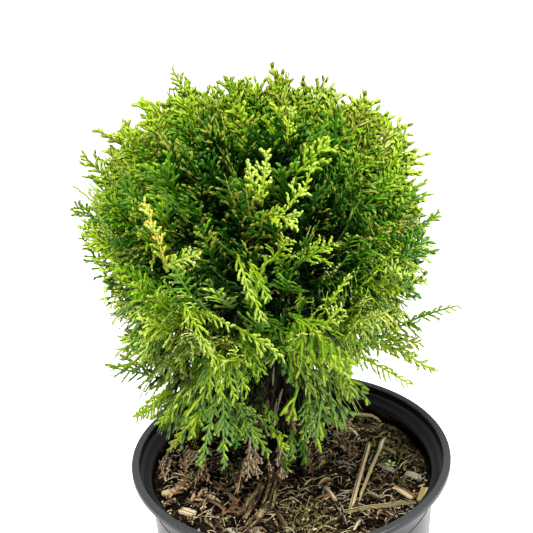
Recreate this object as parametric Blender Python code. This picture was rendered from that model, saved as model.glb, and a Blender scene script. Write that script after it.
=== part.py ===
# Potted thuja: a young globe-shaped conifer in its nursery pot.
# Metres, +Z up. The origin is the centre of the pot's flat underside, and the
# side that is seen first faces -Y.
import math
import random

import bmesh
import bpy
from mathutils import Vector, noise

CLEARANCE = 0.0003       # gap between pieces that touch on the real plant

# The pot, a turned blow-moulded shell with a rolled lip.
POT_HEIGHT = 0.213
POT_STEPS = 40           # facets round the pot and round the soil
RIM_RADIUS = 0.112       # outside of the lip
LIP_WIDTH = 0.0054       # top of the lip, from its outside to its inside
LIP_DEPTH = 0.0045       # height of the lip's outer face
LIP_ROUND = 0.0012       # rounding of the lip's two top edges
NECK_RADIUS = 0.1008     # outside of the wall where it leaves the lip
NECK_DEPTH = 0.0125      # depth of that place under the rim
BASE_RADIUS = 0.0895     # outside of the wall at the heel
HEEL_ROUND = 0.0045
WALL = 0.0018
FLOOR = 0.0028           # thickness of the pot's floor
LEDGE_DEPTH = 0.0062     # depth of the inner ledge under the rim
DRAIN_COUNT = 6
DRAIN_RADIUS = 0.0055
DRAIN_SIDES = 10
DRAIN_HEIGHT = 0.0115    # middle of the drain holes

# The soil with the bark mulch that lies on it.
SOIL_TOP = POT_HEIGHT - 0.020
SOIL_ROUGHNESS = 0.0024  # height of its bumps
SOIL_BUMPS = 60.0        # bumps in a metre
SOIL_FLAT = 0.040        # radius round the trunk that stays level
SOIL_RINGS = 4
CHIP_COUNT = 9
CHIP_FREE = 0.045        # no loose chip lies nearer to a stem
# The larger pieces of bark that lie on the soil: their ends, width and height.
BARK_PIECES = (
    ((0.038, -0.051), (0.060, 0.036), 0.0045, 0.0026),
    ((0.034, -0.048), (0.080, -0.038), 0.0050, 0.0022),
    ((-0.034, -0.063), (-0.023, -0.022), 0.0140, 0.0060),
    ((0.070, -0.022), (0.083, -0.036), 0.0075, 0.0022),
    ((-0.066, -0.047), (-0.077, -0.041), 0.0060, 0.0030),
)

# The trunk and the side stem.
TRUNK_FOOT = Vector((-0.012, 0.008))
TRUNK_BEND = Vector((0.004, -0.003))     # how far its middle leaves the straight line
TRUNK_RADIUS = 0.0074    # above the root flare
TRUNK_TIP_RADIUS = 0.0026
FLARE_RADIUS = 0.0122    # at the soil
FLARE_HEIGHT = 0.014
TRUNK_SIDES = 11
TRUNK_RINGS = 10
STEM_FOOT = Vector((0.0085, -0.002))
STEM_RADIUS = 0.0026
BOUGH_TAPER = 0.42       # share of its foot radius that a limb loses
BOUGH_SIDES = 5
BOUGH_RINGS = 6
BOUGH_CROWDING = 1.6     # draws the rings together at the far end, where a limb bends most
COPING_GAP = 0.00048     # from the trunk's surface to a bough's hollowed foot

# The crown: a globe of flat sprays round this centre.
CROWN_CENTRE = Vector((-0.013, 0.0, 0.371))
CROWN_RADIUS = 0.1215
REACH_RANGE = (0.94, 1.04)               # how much the sprays' reach differs
SKIRT_DROP = 0.038       # further reach of the hanging sprays on the underside
CORE_SHARE = 0.54        # of the crown's reach, the dense middle that the sprays stand out of
CORE_BUMPS = 0.004
CELL_GAP = 0.0005        # from a mass to each side of its own space
BOUGH_END = 0.037        # from the crown's centre to the tips of the boughs
CORE_START = 0.0045      # from a bough's tip to the near side of its core
TWIG_SIDES = 3

# A ring of masses: height angle, number, first azimuth, mean depth of its
# boughs' feet under the crown's centre, how far those feet are spread up the
# trunk, and the foot radius of a bough.
MASS_RINGS = {
    "upper": {"angle": 42.0, "count": 5, "first": -110.0, "foot": 0.009, "spread": 0.016, "radius": 0.0022},
    "middle": {"angle": 1.0, "count": 6, "first": -84.0, "foot": 0.038, "spread": 0.024, "radius": 0.0026},
    "lower": {"angle": -41.0, "count": 5, "first": -126.0, "foot": 0.082, "spread": 0.024, "radius": 0.0030},
}
SIDE_STEM_MASS = "lower_2"               # the one mass that the side stem carries

# The sprays, each a toothed blade on a twig.
SPRAY_COUNT = 110        # spread evenly round the whole globe
SKIRT_COUNT = 8          # more of them that hang from the crown's underside
SPRAY_LOWEST = -74.0     # height angle under which the crown is open
SKIRT_TOP = -47.0        # height angle of the highest of the hanging ones
BLADE_LENGTH = 0.057
BLADE_WIDTH = 0.038
HANGING_WIDTH = 0.72     # of that, on the sprays that hang
BLADE_THICKNESS = 0.0011
BLADE_TEETH = 3          # pairs of side branchlets
SPINE_WIDTH = 0.20       # of the blade's width, at the root
ROOT_DEPTH = 0.0085      # how far a spray's root is sunk in the core
TWIG_RADIUS = 0.0011
LIMB_MARGIN = 0.0022     # from a spray to any limb
SOIL_MARGIN = 0.0035     # from a spray to the soil and the pot
# Sprays that stand out alone: azimuth, height angle and reach of the tip.
LONE_SPRAYS = (
    (-2.0, -20.0, 0.137),
    (-8.0, -40.0, 0.146),
    (183.0, -30.0, 0.134),
    (188.0, -44.0, 0.143),
    (172.0, 14.0, 0.131),
    (168.0, -4.0, 0.130),
    (143.0, 38.0, 0.129),
    (35.0, 27.0, 0.127),
    (80.0, 80.0, 0.117),
    (236.0, -64.0, 0.166),
    (293.0, -64.0, 0.164),
)
TRIES = 30               # rolls and leanings tried for a spray that does not fit
GOLDEN = 0.5 * (math.sqrt(5.0) - 1.0)
SEED = 7


def blend(a, b, t):
    return a + (b - a) * t


def smooth_step(low, high, value):
    t = min(max((value - low) / (high - low), 0.0), 1.0)
    return t * t * (3.0 - 2.0 * t)


def direction(azimuth, angle):
    """Unit vector from an azimuth and a height angle in degrees."""
    a = math.radians(azimuth)
    e = math.radians(angle)
    return Vector((math.cos(a) * math.cos(e), math.sin(a) * math.cos(e), math.sin(e)))


def material(name, colour, roughness):
    made = bpy.data.materials.new(name)
    made.use_nodes = True
    shader = made.node_tree.nodes["Principled BSDF"]
    shader.inputs["Base Color"].default_value = (*colour, 1.0)
    shader.inputs["Roughness"].default_value = roughness
    shader.inputs["Metallic"].default_value = 0.0
    made.diffuse_color = (*colour, 1.0)
    return made


def add_object(name, bm, finish):
    """Turn a bmesh into a named object in the scene."""
    mesh = bpy.data.meshes.new(name)
    bmesh.ops.recalc_face_normals(bm, faces=bm.faces)
    bm.to_mesh(mesh)
    bm.free()
    made = bpy.data.objects.new(name, mesh)
    bpy.context.scene.collection.objects.link(made)
    mesh.materials.append(finish)
    return made


def apply_modifiers(thing):
    graph = bpy.context.evaluated_depsgraph_get()
    mesh = bpy.data.meshes.new_from_object(thing.evaluated_get(graph))
    old = thing.data
    thing.modifiers.clear()
    thing.data = mesh
    bpy.data.meshes.remove(old)


def turned(profile, steps):
    """Solid of revolution round Z from a closed list of radius and height."""
    bm = bmesh.new()
    points = [bm.verts.new((radius, 0.0, height)) for radius, height in profile]
    edges = [bm.edges.new((points[i], points[(i + 1) % len(points)])) for i in range(len(points))]
    bmesh.ops.spin(bm, geom=points + edges, cent=(0, 0, 0), axis=(0, 0, 1),
                   angle=math.tau, steps=steps, use_merge=True)
    bmesh.ops.remove_doubles(bm, verts=bm.verts, dist=1e-6)
    return bm


def loft(bm, rings):
    """Close a row of vertex rings into a tube with flat ends."""
    loops = [[bm.verts.new(point) for point in ring] for ring in rings]
    for near, far in zip(loops, loops[1:]):
        for i in range(len(near)):
            j = (i + 1) % len(near)
            bm.faces.new((near[i], near[j], far[j], far[i]))
    bm.faces.new(loops[0])
    bm.faces.new(loops[-1])


def ring_round(centre, axis, radius, sides, across=None):
    """Points of a regular ring across an axis, the first one in the direction across."""
    across = across or axis.orthogonal().normalized()
    other = axis.cross(across).normalized()
    points = []
    for i in range(sides):
        angle = math.tau * i / sides
        points.append(centre + (across * math.cos(angle) + other * math.sin(angle)) * radius)
    return points


def bezier(points, t):
    """Point at t on the Bezier curve of three or four control points."""
    row = list(points)
    while len(row) > 1:
        row = [blend(a, b, t) for a, b in zip(row, row[1:])]
    return row[0]


def bezier_tangent(points, t):
    step = 0.01
    return (bezier(points, min(t + step, 1.0)) - bezier(points, max(t - step, 0.0))).normalized()


def rings_along(points, marks, radii, sides):
    """Rings along a curve, each turned as little as can be from the one before."""
    rings = []
    across = bezier_tangent(points, marks[0]).orthogonal()
    for t, radius in zip(marks, radii):
        axis = bezier_tangent(points, t)
        across = (across - axis * across.dot(axis)).normalized()
        rings.append(ring_round(bezier(points, t), axis, radius, sides, across))
    return rings


def pot_outside(height):
    """Outer radius of the pot's wall at a height."""
    return blend(BASE_RADIUS, NECK_RADIUS, height / (POT_HEIGHT - NECK_DEPTH))


def pot_profile():
    """Outline of the pot's wall: down the outside, across the floor, up the inside."""
    top = POT_HEIGHT
    inner = RIM_RADIUS - LIP_WIDTH
    neck = top - NECK_DEPTH
    outside = [
        (RIM_RADIUS - LIP_ROUND, top),
        (RIM_RADIUS, top - LIP_ROUND),
        (RIM_RADIUS, top - LIP_DEPTH),
        (RIM_RADIUS - LIP_WIDTH, top - 1.5 * LIP_DEPTH),
        (NECK_RADIUS + 0.6 * WALL, neck + 0.3 * LIP_DEPTH),
        (NECK_RADIUS, neck),
        (pot_outside(HEEL_ROUND), HEEL_ROUND),
        (BASE_RADIUS - 0.3 * HEEL_ROUND, 0.3 * HEEL_ROUND),
        (BASE_RADIUS - HEEL_ROUND, 0.0),
        (0.0, 0.0),
    ]
    inside = [
        (0.0, FLOOR),
        (BASE_RADIUS - HEEL_ROUND - WALL, FLOOR),
        (pot_outside(FLOOR + HEEL_ROUND) - WALL, FLOOR + HEEL_ROUND),
        (NECK_RADIUS - WALL, neck),
        (NECK_RADIUS, top - 1.6 * LEDGE_DEPTH),
        (inner - WALL, top - LEDGE_DEPTH),
        (inner, top - LIP_ROUND),
        (inner + LIP_ROUND, top),
    ]
    return outside + inside


def drain_cutter(index):
    """Rod that opens one drain hole through the heel of the pot."""
    aim = direction(360.0 * (index + 0.5) / DRAIN_COUNT, 0.0)
    middle = aim * BASE_RADIUS + Vector((0.0, 0.0, DRAIN_HEIGHT))
    reach = aim * (4.0 * WALL)
    bm = bmesh.new()
    loft(bm, [ring_round(end, aim, DRAIN_RADIUS, DRAIN_SIDES) for end in (middle - reach, middle + reach)])
    return bm


def fuse(thing, others, operation):
    """Join or cut an object with a collection of others, then remove them."""
    group = bpy.data.collections.new(thing.name + "_parts")
    bpy.context.scene.collection.children.link(group)
    for other in others:
        bpy.context.scene.collection.objects.unlink(other)
        group.objects.link(other)
        other.hide_render = True
        other.display_type = "WIRE"
    before = thing.data
    done = False
    while not done:
        for solver in ("EXACT", "MANIFOLD"):
            thing.data = before.copy()
            tool = thing.modifiers.new("fuse", "BOOLEAN")
            tool.operation = operation
            tool.operand_type = "COLLECTION"
            tool.collection = group
            tool.solver = solver
            apply_modifiers(thing)
            keep_largest_shell(thing.data)
            done = is_closed(thing.data)
            if done:
                break
        if not done:
            bpy.data.objects.remove(group.objects[-1])
    for other in list(group.objects):
        bpy.data.objects.remove(other)
    bpy.data.collections.remove(group)
    bpy.data.meshes.remove(before)


def is_closed(mesh):
    """True if every edge of a mesh joins two faces."""
    bm = bmesh.new()
    bm.from_mesh(mesh)
    closed = all(len(edge.link_faces) == 2 for edge in bm.edges)
    bm.free()
    return closed


def keep_largest_shell(mesh):
    """Drop the loose scraps and the sealed hollows that fusing can leave."""
    bm = bmesh.new()
    bm.from_mesh(mesh)
    bmesh.ops.triangulate(bm, faces=bm.faces)
    left = set(bm.faces)
    shells = []
    while left:
        stack = [left.pop()]
        shell = []
        while stack:
            face = stack.pop()
            shell.append(face)
            near = {other for edge in face.edges for other in edge.link_faces} & left
            left -= near
            stack.extend(near)
        shells.append(shell)
    shells.sort(key=len)
    scraps = [face for shell in shells[:-1] for face in shell]
    bmesh.ops.delete(bm, geom=scraps, context="FACES")
    bm.to_mesh(mesh)
    bm.free()


def build_pot(finish):
    """The turned shell with its drain holes cut."""
    pot = add_object("pot", turned(pot_profile(), POT_STEPS), finish)
    holes = [add_object("drain_%d" % i, drain_cutter(i), finish) for i in range(DRAIN_COUNT)]
    fuse(pot, holes, "DIFFERENCE")
    pot.data.shade_smooth()
    pot.data.set_sharp_from_angle(angle=math.radians(30.0))


def soil_height(x, y):
    """Top of the soil: level round the stems, bumpy further out."""
    away = (Vector((x, y)) - TRUNK_FOOT).length
    bumps = noise.noise(Vector((x * SOIL_BUMPS, y * SOIL_BUMPS, 0.5)))
    return SOIL_TOP + SOIL_ROUGHNESS * bumps * smooth_step(SOIL_FLAT, 1.6 * SOIL_FLAT, away)


def soil_body():
    """Closed body that fills the pot up to the soil's top."""
    inner = WALL + CLEARANCE
    floor = FLOOR + CLEARANCE
    edge = pot_outside(SOIL_TOP) - inner
    rows = []
    for k in range(1, SOIL_RINGS + 1):
        rows.append((edge * k / SOIL_RINGS, None))
    rows.append((pot_outside(FLOOR + HEEL_ROUND) - inner, FLOOR + HEEL_ROUND + CLEARANCE))
    rows.append((BASE_RADIUS - HEEL_ROUND - inner, floor))
    bm = bmesh.new()
    rings = []
    for radius, height in rows:
        ring = []
        for i in range(POT_STEPS):
            angle = math.tau * i / POT_STEPS
            x = radius * math.cos(angle)
            y = radius * math.sin(angle)
            ring.append(bm.verts.new((x, y, soil_height(x, y) if height is None else height)))
        rings.append(ring)
    for upper, under in zip(rings, rings[1:]):
        for i in range(POT_STEPS):
            j = (i + 1) % POT_STEPS
            bm.faces.new((upper[i], upper[j], under[j], under[i]))
    crown = bm.verts.new((0.0, 0.0, soil_height(0.0, 0.0)))
    for i in range(POT_STEPS):
        bm.faces.new((crown, rings[0][(i + 1) % POT_STEPS], rings[0][i]))
    bm.faces.new(rings[-1])
    return bm


def bark_piece(start, end, width, height):
    """Flat splinter of bark between two points, pointed at one end."""
    a = Vector((*start, soil_height(*start)))
    b = Vector((*end, soil_height(*end)))
    along = (b - a).normalized()
    side = Vector((-along.y, along.x, 0.0)).normalized()
    up = along.cross(side)
    up = -up if up.z < 0 else up
    rings = []
    for t, w, h in ((0.0, 0.45, 0.6), (0.25, 0.5, 1.0), (0.75, 0.42, 0.9), (1.0, 0.15, 0.5)):
        middle = blend(a, b, t)
        low = middle - up * (0.6 * height)
        high = middle + up * (h * height)
        rings.append([low - side * (w * width), low + side * (w * width),
                      high + side * (0.8 * w * width), high - side * (0.8 * w * width)])
    bm = bmesh.new()
    loft(bm, rings)
    return bm


def build_soil(finish):
    """The filling of the pot with bark pieces fused on its top."""
    rule = random.Random(SEED)
    soil = add_object("soil", soil_body(), finish)
    pieces = list(BARK_PIECES)
    reach = pot_outside(SOIL_TOP) - 6.0 * WALL
    while len(pieces) < CHIP_COUNT:
        place = direction(rule.uniform(0.0, 360.0), 0.0).to_2d() * reach * math.sqrt(rule.random())
        turn = direction(rule.uniform(0.0, 360.0), 0.0).to_2d() * rule.uniform(0.006, 0.013)
        clear = min((place - TRUNK_FOOT).length, (place - STEM_FOOT).length)
        inside = max((place + turn).length, (place - turn).length) < reach
        if inside and clear > CHIP_FREE:
            pieces.append((place - turn, place + turn, rule.uniform(0.004, 0.008), 0.0022))
    chips = []
    for number, (start, end, width, height) in enumerate(pieces):
        chips.append(add_object("chip_%d" % number, bark_piece(start, end, width, height), finish))
    fuse(soil, chips, "UNION")


def trunk_foot_height():
    return SOIL_TOP + CLEARANCE


def trunk_top():
    return CROWN_CENTRE + Vector((0.0, 0.0, BOUGH_END))


def trunk_axis(height):
    """Middle of the leaning, slightly bent trunk at a height."""
    top = trunk_top()
    t = (height - trunk_foot_height()) / (top.z - trunk_foot_height())
    flat = blend(TRUNK_FOOT, top.to_2d(), t) + TRUNK_BEND * math.sin(math.pi * t)
    return Vector((flat.x, flat.y, height))


def trunk_radius(height):
    t = (height - trunk_foot_height()) / (trunk_top().z - trunk_foot_height())
    flare = math.exp(-(height - trunk_foot_height()) / (0.4 * FLARE_HEIGHT))
    return blend(TRUNK_RADIUS, TRUNK_TIP_RADIUS, t) + (FLARE_RADIUS - TRUNK_RADIUS) * flare


def build_trunk(finish):
    """One leaning stem with a lobed root flare, from a flat foot to its tip."""
    bm = bmesh.new()
    foot = trunk_foot_height()
    rings = []
    for k in range(TRUNK_RINGS + 1):
        height = foot + (trunk_top().z - foot) * (k / TRUNK_RINGS) ** 1.35
        middle = trunk_axis(height)
        swell = 0.14 * math.exp(-(height - foot) / FLARE_HEIGHT)
        ring = []
        for i in range(TRUNK_SIDES):
            angle = math.tau * i / TRUNK_SIDES
            radius = trunk_radius(height) * (1.0 + swell * math.sin(3.0 * angle + 0.6))
            ring.append(middle + Vector((math.cos(angle), math.sin(angle), 0.0)) * radius)
        rings.append(ring)
    loft(bm, rings)
    add_object("trunk", bm, finish)


def crown_masses():
    """Direction, ring and number in its ring of every mass of foliage."""
    masses = {"top": (Vector((0.0, 0.0, 1.0)), "top", 0)}
    for ring, sizes in MASS_RINGS.items():
        for k in range(sizes["count"]):
            azimuth = sizes["first"] + 360.0 * k / sizes["count"]
            masses["%s_%d" % (ring, k + 1)] = (direction(azimuth, sizes["angle"]), ring, k)
    return masses


def limb_route(name, masses):
    """Control points and foot radius of the limb that carries a mass."""
    aim, ring, number = masses[name]
    end = CROWN_CENTRE + aim * BOUGH_END
    lead = 0.45 * BOUGH_END
    if name == SIDE_STEM_MASS:
        foot = Vector((STEM_FOOT.x, STEM_FOOT.y, trunk_foot_height()))
        return [foot, foot + Vector((0.0, 0.0, 2.0 * BOUGH_END)), end - aim * lead, end], STEM_RADIUS
    sizes = MASS_RINGS[ring]
    spread = sizes["spread"] * ((number * GOLDEN) % 1.0 - 0.5)
    height = CROWN_CENTRE.z - sizes["foot"] + spread
    out = Vector((aim.x, aim.y, 0.0)).normalized()
    foot = trunk_axis(height) + out * (trunk_radius(height) + COPING_GAP)
    rise = (out + Vector((0.0, 0.0, 1.0))).normalized()
    return [foot, foot + rise * (0.3 * (end - foot).length), end - aim * lead, end], sizes["radius"]


def drawn_to_trunk(place, axis):
    """Slide a point along a bough until it lies on the trunk's surface."""
    low = -0.02
    high = 0.02
    for _ in range(30):
        middle = 0.5 * (low + high)
        probe = place + axis * middle
        away = (probe.to_2d() - trunk_axis(probe.z).to_2d()).length
        if away < trunk_radius(probe.z) + COPING_GAP:
            low = middle
        else:
            high = middle
    return place + axis * high


def build_limb(name, points, radius, finish):
    """Tapering limb along a curve: a flat far end, a foot hollowed to the trunk."""
    marks = [1.0 - (1.0 - k / (BOUGH_RINGS - 1)) ** BOUGH_CROWDING for k in range(BOUGH_RINGS)]
    rings = rings_along(points, marks, [radius * (1.0 - BOUGH_TAPER * t) for t in marks], BOUGH_SIDES)
    if name == "side_stem":
        rings[0] = [Vector((point.x, point.y, points[0].z)) for point in rings[0]]
        heel = points[0]
    else:
        axis = bezier_tangent(points, 0.0)
        rings[0] = [drawn_to_trunk(point, axis) for point in rings[0]]
        heel = drawn_to_trunk(points[0], axis)
    bm = bmesh.new()
    loops = [[bm.verts.new(point) for point in ring] for ring in rings]
    middle = bm.verts.new(heel)
    for i in range(BOUGH_SIDES):
        j = (i + 1) % BOUGH_SIDES
        bm.faces.new((middle, loops[0][j], loops[0][i]))
        for near, far in zip(loops, loops[1:]):
            bm.faces.new((near[i], near[j], far[j], far[i]))
    bm.faces.new(loops[-1])
    add_object(name, bm, finish)


def limb_samples(routes):
    """Points along every limb with the radius there."""
    samples = []
    for points, radius in routes.values():
        for k in range(25):
            t = k / 24
            samples.append((bezier(points, t), radius * (1.0 - BOUGH_TAPER * t)))
    height = trunk_foot_height()
    while height < trunk_top().z:
        samples.append((trunk_axis(height), trunk_radius(height)))
        height += 0.003
    return samples


def cell_planes(name, masses):
    """Planes through the crown's centre that bound a mass's own space."""
    aim = masses[name][0]
    return [(aim - other[0]).normalized() for key, other in masses.items() if key != name]


def core_radius(aim):
    """Outside of the dense middle, a little bumpy."""
    return CORE_SHARE * crown_reach(aim) + CORE_BUMPS * noise.noise(aim * 3.0)


def core_body(name, masses):
    """Wedge of the bumpy ball inside a mass's own space, clear of the limbs."""
    aim, ring, _ = masses[name]
    bm = bmesh.new()
    bmesh.ops.create_icosphere(bm, subdivisions=3, radius=1.0)
    for vertex in bm.verts:
        way = vertex.co.normalized()
        vertex.co = CROWN_CENTRE + way * core_radius(way)
    flat = Vector((aim.x, aim.y, 0.0)).normalized()
    shelf = flat if ring == "lower" else aim
    start = CROWN_CENTRE + aim * BOUGH_END + shelf * CORE_START
    cuts = [(start, shelf)]
    for normal in cell_planes(name, masses):
        cuts.append((CROWN_CENTRE + normal * CELL_GAP, normal))
    for place, normal in cuts:
        cut_away(bm, place, normal)
    return bm


def cut_away(bm, place, normal):
    """Keep the side of a closed body that a plane's normal points to."""
    geometry = list(bm.verts) + list(bm.edges) + list(bm.faces)
    result = bmesh.ops.bisect_plane(bm, geom=geometry, dist=1e-7, plane_co=place,
                                    plane_no=normal, clear_inner=True)
    edges = [item for item in result["geom_cut"] if isinstance(item, bmesh.types.BMEdge)]
    if edges:
        bmesh.ops.contextual_create(bm, geom=edges)


def crown_reach(aim):
    """Distance of the spray tips from the crown's centre in a direction."""
    angle = math.degrees(math.asin(max(-1.0, min(1.0, aim.z))))
    reach = CROWN_RADIUS + SKIRT_DROP * smooth_step(-30.0, -66.0, angle)
    if aim.z < -0.2:
        reach = min(reach, (CROWN_CENTRE.z - SOIL_TOP - 0.006) / -aim.z)
    return reach


def spray_directions():
    """Even directions round the crown by the golden angle, and more underneath."""
    turn = 360.0 * GOLDEN
    for k in range(SPRAY_COUNT):
        angle = math.degrees(math.asin(1.0 - 2.0 * (k + 0.5) / SPRAY_COUNT))
        if angle > SPRAY_LOWEST:
            yield direction(turn * k, angle)
    for k in range(SKIRT_COUNT):
        yield direction(turn * (k + 0.5), blend(SKIRT_TOP, SPRAY_LOWEST, (k + 0.5) / SKIRT_COUNT))


def spray_route(aim, mass_aim, tip):
    """Curve of a spray from inside the core to its tip."""
    root_way = (aim * 0.85 + mass_aim * 0.15).normalized()
    root = CROWN_CENTRE + root_way * (core_radius(root_way) - ROOT_DEPTH)
    if aim.z > -0.35:
        bend = blend(root, tip, 0.55) + Vector((0.0, 0.0, -0.004 + 0.006 * aim.z))
        return [root, bend, tip]
    flat = Vector((aim.x, aim.y, 0.0)).normalized()
    bend = blend(root, tip, 0.42) + flat * 0.018 + Vector((0.0, 0.0, 0.006))
    return [root, bend, tip]


def route_length(points):
    marks = [bezier(points, k / 10) for k in range(11)]
    return sum((b - a).length for a, b in zip(marks, marks[1:]))


def blade_frame(points, length, roll):
    """Spine points, side and normal of a blade on the last part of a route."""
    start = max(0.0, 1.0 - length / route_length(points))
    spine = [bezier(points, blend(start, 1.0, k / (BLADE_TEETH + 1))) for k in range(BLADE_TEETH + 2)]
    chord = (spine[-1] - spine[0]).normalized()
    side = chord.cross(Vector((0.0, 0.0, 1.0)))
    if side.length < 0.2:
        side = chord.cross(Vector((0.0, 1.0, 0.0)))
    side.normalize()
    side = side * math.cos(roll) + chord.cross(side) * math.sin(roll)
    return spine, side, chord.cross(side)


def blade_body(spine, side, normal, width):
    """Flat toothed blade: side branchlets in pairs that point forward, and a tip."""
    last = BLADE_TEETH
    narrow = [0.5 * SPINE_WIDTH * width * (1.0 - 0.5 * k / last) for k in range(last + 1)]
    wide = [0.5 * width * math.sin(math.pi * (0.32 + 0.46 * k / (last - 1))) for k in range(last)]
    heads = [blend(spine[k + 1], spine[k + 2], 0.25) for k in range(last)]
    half = normal * (0.5 * BLADE_THICKNESS)
    bm = bmesh.new()
    sheets = []
    for lift in (half, -half):
        edges = {}
        for sign in (-1, 1):
            edges[sign] = []
            for k in range(last):
                edges[sign].append(bm.verts.new(spine[k] + side * (sign * narrow[k]) + lift))
                edges[sign].append(bm.verts.new(heads[k] + side * (sign * wide[k]) + lift))
            edges[sign].append(bm.verts.new(spine[last] + side * (sign * narrow[last]) + lift))
        tip = bm.verts.new(spine[-1] + lift)
        left, right = edges[-1], edges[1]
        for k in range(0, 2 * last, 2):
            bm.faces.new((left[k], right[k], right[k + 2], left[k + 2]))
            bm.faces.new((left[k], left[k + 2], left[k + 1]))
            bm.faces.new((right[k], right[k + 1], right[k + 2]))
        bm.faces.new((left[-1], right[-1], tip))
        sheets.append(right + [tip] + left[::-1])
    upper, under = sheets
    for i in range(len(upper)):
        j = (i + 1) % len(upper)
        bm.faces.new((upper[i], under[i], under[j], upper[j]))
    return bm


def twig_body(points, until):
    """Three-sided twig along the first part of a route."""
    marks = [0.5 * until * k for k in range(3)]
    bm = bmesh.new()
    loft(bm, rings_along(points, marks, [TWIG_RADIUS * (1.15 - 0.2 * k) for k in range(3)], TWIG_SIDES))
    return bm


def keeps_to_space(points, planes, samples):
    """True if every point stays in its mass's space and off limbs, soil and pot."""
    wall = pot_outside(POT_HEIGHT - NECK_DEPTH) - 2.5 * WALL
    for point in points:
        if min((point - CROWN_CENTRE).dot(normal) for normal in planes) < 2.0 * CELL_GAP:
            return False
        if point.z < SOIL_TOP + SOIL_MARGIN:
            return False
        if point.z < POT_HEIGHT + SOIL_MARGIN and point.to_2d().length > wall:
            return False
        if any((point - middle).length < radius + LIMB_MARGIN for middle, radius in samples):
            return False
    return True


def spray_bodies(aim, mass_aim, reach, planes, samples, rule):
    """Blade and twig of one spray, or nothing where no try keeps to its space."""
    for attempt in range(TRIES):
        pull = 0.05 * (attempt // 5)
        way = (aim * (1.0 - pull) + mass_aim * pull).normalized()
        points = spray_route(way, mass_aim, CROWN_CENTRE + way * reach)
        width = BLADE_WIDTH * rule.uniform(0.85, 1.1) * (1.0 - 0.01 * attempt)
        width *= HANGING_WIDTH if aim.z < -0.5 else 1.0
        whole = route_length(points)
        length = min(BLADE_LENGTH * rule.uniform(0.9, 1.1), 0.97 * whole)
        spine, side, normal = blade_frame(points, length, rule.uniform(0.0, math.pi))
        blade = blade_body(spine, side, normal, width)
        probes = [vertex.co.copy() for vertex in blade.verts]
        probes += [blend(edge.verts[0].co, edge.verts[1].co, 0.5) for edge in blade.edges]
        probes += [bezier(points, k / 20) for k in range(21)]
        if keeps_to_space(probes, planes, samples):
            until = 1.0 - length / whole
            return [blade, twig_body(points, until + 0.08)] if until > 0.12 else [blade]
        blade.free()
    return []


def build_mass(name, masses, samples, sprays, finish):
    """One mass: stem, core and the sprays of its own space, fused to one body."""
    aim = masses[name][0]
    rule = random.Random(name)
    planes = cell_planes(name, masses)
    start = CROWN_CENTRE + aim * (BOUGH_END + CLEARANCE)
    stem = bmesh.new()
    radius = (1.0 - BOUGH_TAPER) * MASS_RINGS["middle"]["radius"]
    loft(stem, [ring_round(start, aim, radius, BOUGH_SIDES),
                ring_round(start + aim * (3.0 * CORE_START), aim, 0.8 * radius, BOUGH_SIDES)])
    mass = add_object("foliage_" + name, core_body(name, masses), finish)
    others = [add_object("stem_of_" + name, stem, finish)]
    for way, reach in sprays:
        for body in spray_bodies(way, aim, reach, planes, samples, rule):
            others.append(add_object("spray", body, finish))
    fuse(mass, others, "UNION")


def share_out_sprays(masses):
    """Give each spray to the mass in whose space its direction lies."""
    rule = random.Random(SEED)
    wanted = [(way, crown_reach(way) * rule.uniform(*REACH_RANGE)) for way in spray_directions()]
    wanted += [(direction(azimuth, angle), reach) for azimuth, angle, reach in LONE_SPRAYS]
    shares = {name: [] for name in masses}
    for way, reach in wanted:
        nearest = max(masses, key=lambda name: masses[name][0].dot(way))
        shares[nearest].append((way, reach))
    return shares


def main():
    for old in list(bpy.data.objects):
        bpy.data.objects.remove(old)
    plastic = material("pot_plastic", (0.020, 0.021, 0.022), 0.32)
    earth = material("soil_and_bark", (0.060, 0.042, 0.028), 0.95)
    bark = material("bark", (0.095, 0.060, 0.038), 0.9)
    leaf = material("foliage", (0.115, 0.240, 0.022), 0.55)
    build_pot(plastic)
    build_soil(earth)
    build_trunk(bark)
    masses = crown_masses()
    routes = {name: limb_route(name, masses) for name in masses if name != "top"}
    for name, (points, radius) in routes.items():
        build_limb("side_stem" if name == SIDE_STEM_MASS else "bough_" + name, points, radius, bark)
    samples = limb_samples(routes)
    shares = share_out_sprays(masses)
    for name in masses:
        build_mass(name, masses, samples, shares[name], leaf)


main()
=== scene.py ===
import math
import random

import bmesh
import bpy
import numpy as np
from mathutils import Matrix, Vector, noise


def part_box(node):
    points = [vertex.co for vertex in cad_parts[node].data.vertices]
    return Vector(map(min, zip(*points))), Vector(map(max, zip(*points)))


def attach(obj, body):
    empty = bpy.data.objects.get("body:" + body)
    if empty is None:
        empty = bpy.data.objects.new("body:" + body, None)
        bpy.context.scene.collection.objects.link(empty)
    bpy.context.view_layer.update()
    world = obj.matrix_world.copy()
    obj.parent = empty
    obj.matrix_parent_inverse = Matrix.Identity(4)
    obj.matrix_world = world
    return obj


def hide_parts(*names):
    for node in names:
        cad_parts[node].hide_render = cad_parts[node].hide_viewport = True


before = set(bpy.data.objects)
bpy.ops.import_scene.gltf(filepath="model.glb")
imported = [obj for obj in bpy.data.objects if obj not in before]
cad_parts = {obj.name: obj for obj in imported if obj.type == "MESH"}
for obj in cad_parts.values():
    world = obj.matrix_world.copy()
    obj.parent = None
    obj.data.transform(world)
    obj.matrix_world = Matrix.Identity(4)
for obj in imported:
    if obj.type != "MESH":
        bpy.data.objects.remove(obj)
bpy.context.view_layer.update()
potLow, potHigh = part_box("pot")
print("frame loaded:", len(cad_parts), "nodes")

golden = 0.5 * (math.sqrt(5.0) - 1.0)


# Small helpers. Points are numpy arrays, one row for each point.
def mix(a, b, t):
    return a + (b - a) * t


def easeStep(low, high, value):
    t = np.clip((value - low) / (high - low), 0.0, 1.0)
    return t * t * (3.0 - 2.0 * t)


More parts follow.
